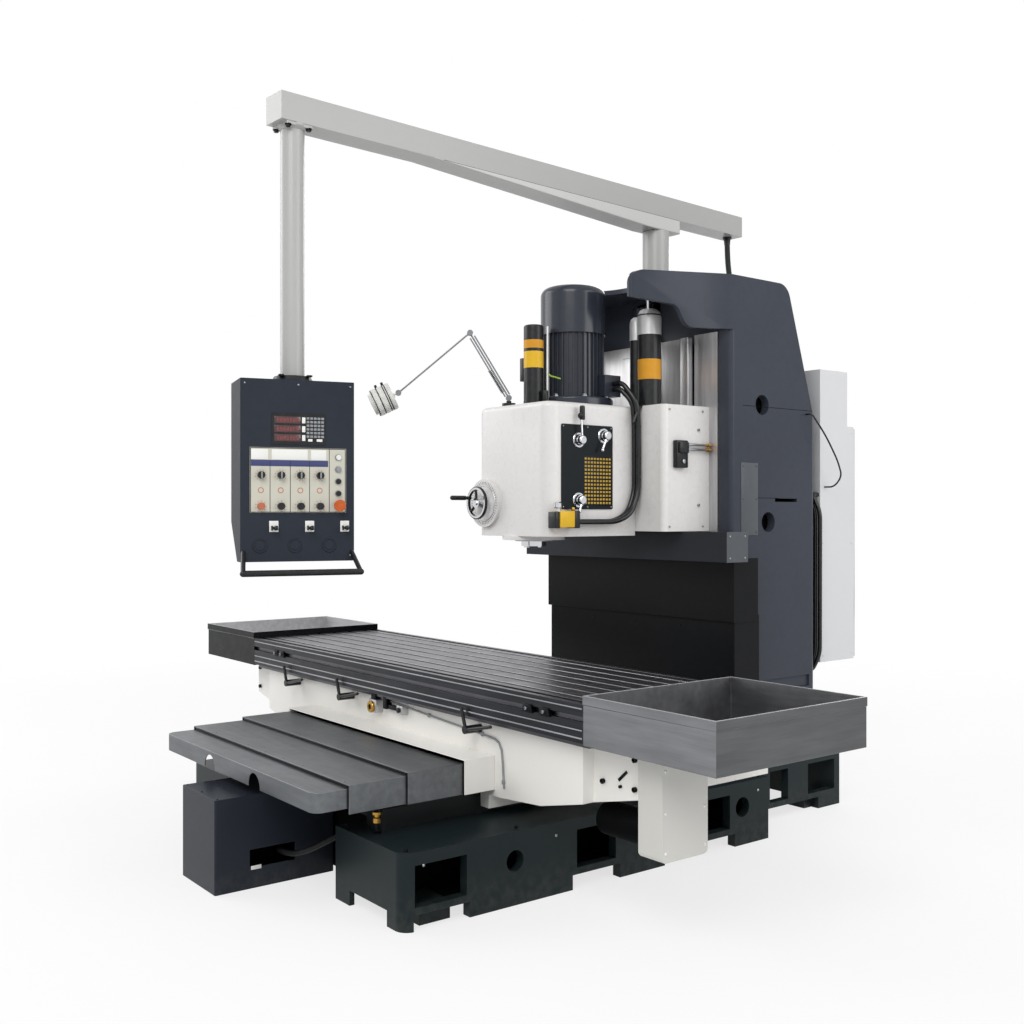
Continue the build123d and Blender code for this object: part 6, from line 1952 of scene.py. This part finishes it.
@dataclass
class Pendant:
    """The control pendant with its panel.

    Attributes:
        pole: Middle of the pole on plan.
        turn: Plan angle of its width in degrees.
        face: Its face, from the pole.
        panel: The panel's face.
        columns: Where the columns of knobs stand.
        knob_row: Height of the turning selectors.
        trimmer_row: Height of the fixed trimmers.
        button_column: Where the buttons stand.
        toggles: Where the toggles stand.
        toggle_row: Height of the toggles.
    """

    pole: tuple[float, float] = (103.2, -1427.7)
    turn: float = 75
    face: float = -125
    panel: float = -128
    columns: tuple[float, ...] = (-157, -75, 7, 89)
    knob_row: float = 1705
    trimmer_row: float = 1576
    button_column: float = 169
    toggles: tuple[float, ...] = (-102, 48, 198)
    toggle_row: float = 1485

    def place(self) -> Matrix:
        """Give the pendant's own frame, with heights above the floor."""
        return Matrix.Translation((*self.pole, 0)) @ Matrix.Rotation(math.radians(self.turn), 4, "Z")

    def build(self) -> None:
        """Make the box, the panel, its controls and its prints."""
        box = Piece.of_node("pendant_case", "pendant_box", PENDANT_GREY).at(self.place())
        box.repaint((-300, -300, 2106), (300, 300, 2300), PLASTIC)
        box.repaint((-300, -300, 1200), (300, self.face - 12, 1400), PLASTIC)
        box.done("pendant", "pendant_paint", ["pendant_box"], edge=2.5)
        collar = Piece("pendant_collar", PLASTIC).at(self.place())
        collar.lathe([(77, 2103), (92, 2103), (92, 2110), (84, 2118), (80, 2126), (77, 2126), (77, 2103)], (0, 0, 0),
                     UP, 48)
        for x in (-1, 1):
            collar.box((x * 60 - 12, -72, 2126), (x * 60 + 12, -48, 2134), 3)
        collar.done("pendant", "black_plastic")
        self.plate()
        self.prints()
        self.readout()
        self.lower_face()
        for number in range(1, 5):
            knob = Piece.of_node(f"selector_{number}_cap", f"selector_knob_{number}", PLASTIC).at(self.place())
            knob.repaint((-300, -160, 1600), (300, self.panel - 23, 1800), GREY_PLASTIC)
            knob.done(f"selector_knob_{number}", "black_plastic", [f"selector_knob_{number}"], edge=1)
        shell("stop_cap", "stop_button", STOP_RED, "stop_button", "red_plastic", 1)
        for number in range(1, 4):
            shell(f"toggle_{number}_bar", f"toggle_{number}", PLASTIC, f"toggle_{number}", "black_plastic", 0.6)

    def plate(self) -> None:
        """Make the panel plate with its fixed trimmers and buttons."""
        plate = Piece.of_node("panel_plate", "control_panel", CREAM).at(self.place())
        plate.repaint((-300, -200, 1826), (300, 0, 2000), PLASTIC)
        for x in self.columns:
            plate.repaint((x - 17, -160, self.trimmer_row - 17), (x + 17, self.panel - 0.5, self.trimmer_row + 17),
                          BRICK if x == self.columns[0] else PLASTIC)
        for z, finish in ((1783, WHITE_PLASTIC), (1732, GREY_PLASTIC), (1681, PLASTIC), (1630, PLASTIC)):
            plate.repaint((self.button_column - 13, -160, z - 13), (self.button_column + 13, self.panel - 0.5, z + 13),
                          finish)
        plate.done("pendant", "panel_cream", ["control_panel"], edge=0.8)

    def prints(self) -> None:
        """Make the panel's header strips, lines and ring marks."""
        prints = Piece("panel_prints", LABEL_WHITE).at(self.place())
        front, back = self.panel - 0.8, self.panel + 0.5
        for low, high in ((-197, -127), (-112, 38), (52, 117)):
            prints.box((low, front, 1770), (high, back, 1812), 0.3)
        prints.using(STRIP_BLUE).box((-197, front, 1742), (125, back, 1768), 0.3)
        prints.using(PLASTIC)
        for x in (-119, -35, 46, 130):
            prints.box((x - 1.2, front, 1553), (x + 1.2, back, 1768 if x < 130 else 1816), 0.3)
        for x, wide in ((-200.5, 3), (197.5, 3)):
            prints.box((x, front, 1550), (x + wide, back, 1819), 0.3)
        for z in (1550, 1816):
            prints.box((-200, front, z), (200, back, z + 3), 0.3)
        for row, count in ((self.knob_row, 11), (self.trimmer_row, 9)):
            for x in self.columns:
                tick = Piece("panel_tick", BRICK)
                tick.box((-2.5, -0.9, -0.4), (2.5, 0.9, 0.8), 0.2)
                prints.using(BRICK).at(self.place() @ frame_at((x, self.panel, row), FORWARD))
                prints.take_mesh(repeated(Layout.RING, tick, Count=count, Radius=0.0215))
        prints.at(self.place())
        for x in self.columns:
            prints.using(BRICK).lathe([(9, -0.5), (9, 0.7), (12, 0.7), (12, -0.5), (9, -0.5)], (x, self.panel, 1642),
                                      FORWARD, 28)
        prints.using(BOLT_STEEL)
        for z in (1783, 1732, 1681, 1630):
            prints.lathe([(11.2, -0.5), (11.2, 3), (14, 3), (14.6, 1), (14.6, -0.5), (11.2, -0.5)],
                         (self.button_column, self.panel, z), FORWARD, 32)
        prints.done("pendant")

    def readout(self) -> None:
        """Make the three red readouts and the keypad."""
        shown = Piece("readout", RED_WINDOW).at(self.place())
        front, back = self.panel - 1.2, self.panel + 0.5
        for low, high in ((1921, 1950), (1884, 1913), (1847, 1876)):
            shown.using(RED_WINDOW).box((-102, front, low), (8, back, high), 0.5)
            digit = Piece("digit", RED_DIGIT)
            for x, z, wide, tall in ((-3.5, 0, 1.2, 14), (3.5, 0, 1.2, 14),
                                     (0, 7, 6, 1.4), (0, 0, 6, 1.2), (0, -7, 6, 1.4)):
                digit.box((x - wide / 2, -0.3, z - tall / 2), (x + wide / 2, 0.3, z + tall / 2), 0)
            shown.using(RED_DIGIT).at(self.place() @ Matrix.Translation((-86, front - 0.1, (low + high) / 2)))
            shown.take_mesh(repeated(Layout.ROW, digit, Count=7, Step=(0.0135, 0, 0)))
            shown.at(self.place())
            shown.using(LABEL_WHITE).box((14, front - 1, low + 2), (28, back, high - 2), 1)
        key = Piece("key", GREY_PLASTIC)
        key.box((-6, -5, -0.5), (6, 5, 3), 1.2)
        shown.using(GREY_PLASTIC).at(self.place() @ frame_at((70, self.panel, 1906), FORWARD))
        shown.take_mesh(repeated(Layout.GRID, key, Columns=5, Rows=6, Width=0.062, Height=0.076))
        shown.at(self.place()).using(LABEL_WHITE).box((76, front - 1, 1847), (100, back, 1858), 1)
        shown.box((40, front - 1, 1847), (58, back, 1858), 1)
        shown.done("pendant", "black_plastic")

    def lower_face(self) -> None:
        """Make the plates behind the toggles, the plugs and the screws."""
        plates = Piece("toggle_plates", LABEL_WHITE).at(self.place())
        for x in self.toggles:
            plates.box((x - 20, self.face - 1.5, self.toggle_row - 16),
                       (x + 18, self.face + 0.5, self.toggle_row + 30), 0.6)
        plates.using(PENDANT_GREY)
        for x in (-160, -15, 130):
            plates.lathe([(0, 3), (18, 3), (20, 1), (24, 1), (26, 3.5), (29, 3.5), (31, 0), (31, -1), (0, -1)],
                         (x, self.face, 1412), FORWARD, 40)
        plates.done("pendant", "pendant_paint")
        turn = self.place()
        spots = [Screw(tuple(turn @ Vector((x, self.face, z))), tuple(turn.to_3x3() @ Vector(FORWARD)), 9)
                 for x in (-222, 0, 222) for z in (2084, 1368) if x or z > 2000]
        screws("pendant_screws", "pendant", spots, Head.BUTTON, BOLT_STEEL)


@dataclass
class Cabinet:
    """The electrical cabinet behind the column.

    Attributes:
        half: Half its width.
        back: Outer face of its door.
        recess: Depth of the recesses in the door.
        recesses: Two corners of each recess, as x and z: two for the latches, one for the louvres.
    """

    half: float = 618
    back: float = 1833.3
    recess: float = 2
    recesses: tuple[Outline, ...] = (((525, 1066), (585, 1134)), ((525, 1626), (585, 1694)),
                                     ((-330, 882), (-170, 1074)))

    def build(self) -> None:
        """Make the cabinet, its door with latches and louvres, and its conduits."""
        shell("cabinet_case", "cabinet", CABINET_GREY, "base", "grey_enamel", 4)
        door, bottom = Piece.of_node("cabinet_door_sheet", "cabinet_door", CABINET_GREY), self.back - self.recess
        for low, high in self.recesses:
            door.sink((low[0], self.back - 0.5, low[1]), (high[0], self.back + 0.5, high[1]), Axis.Y, self.recess)
            # The recess bottoms are painted near-black as shade.
            door.repaint((low[0], bottom - 0.5, low[1]), (high[0], bottom + 0.5, high[1]), SHADE_AND_SEAM_BLACK)
        door.done("cabinet_door", "grey_enamel", ["cabinet_door"])
        coat(CONDUIT, "cabinet_conduits")
        latch = Piece("cabinet_latches", PLASTIC)
        for z in (1100, 1660):
            latch.lathe([(0, -0.5), (26, -0.5), (26, 0.8), (24, 1.4), (0, 1.4)], (555, bottom, z), (0, 1, 0), 32)
            latch.box((549, bottom + 1, z - 20), (561, self.back - 0.1, z + 20), 0.3)
        latch.done("cabinet_door", "black_plastic")
        slat = Piece("slat", CABINET_GREY)
        slat.prism([(-1.9, -9), (0, -9), (0, 2), (-1.9, 4)], -70, 70, Axis.X, 0.3)
        louvres = Piece("cabinet_door_louvres", CABINET_GREY).at(Matrix.Translation((-250, self.back - 0.2, 900)))
        louvres.take_mesh(repeated(Layout.ROW, slat, Count=9, Step=(0, 0, 0.02)))
        louvres.done("cabinet_door", "grey_enamel")
        spots = [Screw((self.half, y, z), (1, 0, 0), 10) for y in (1530, 1785) for z in (760, 1380, 2000)]
        screws("cabinet_screws", "base", spots, Head.BUTTON, CABINET_GREY)


def main() -> None:
    """Build the studio and every sub-assembly in order."""
    logging.basicConfig(level=logging.INFO, format="%(message)s")
    for assembly in (Studio(), Bed(), CoolantTank(), FrontCovers(), Saddle(), Table(), Column(), Guards(),
                     MillingHead(), SpindleDrive(), GearPanel(), WorkLamp(), PendantArm(), Pendant(), Cabinet(),
                     ArmCable()):
        log.info("building %s", type(assembly).__name__)
        assembly.build()


if __name__ == "__main__":
    main()
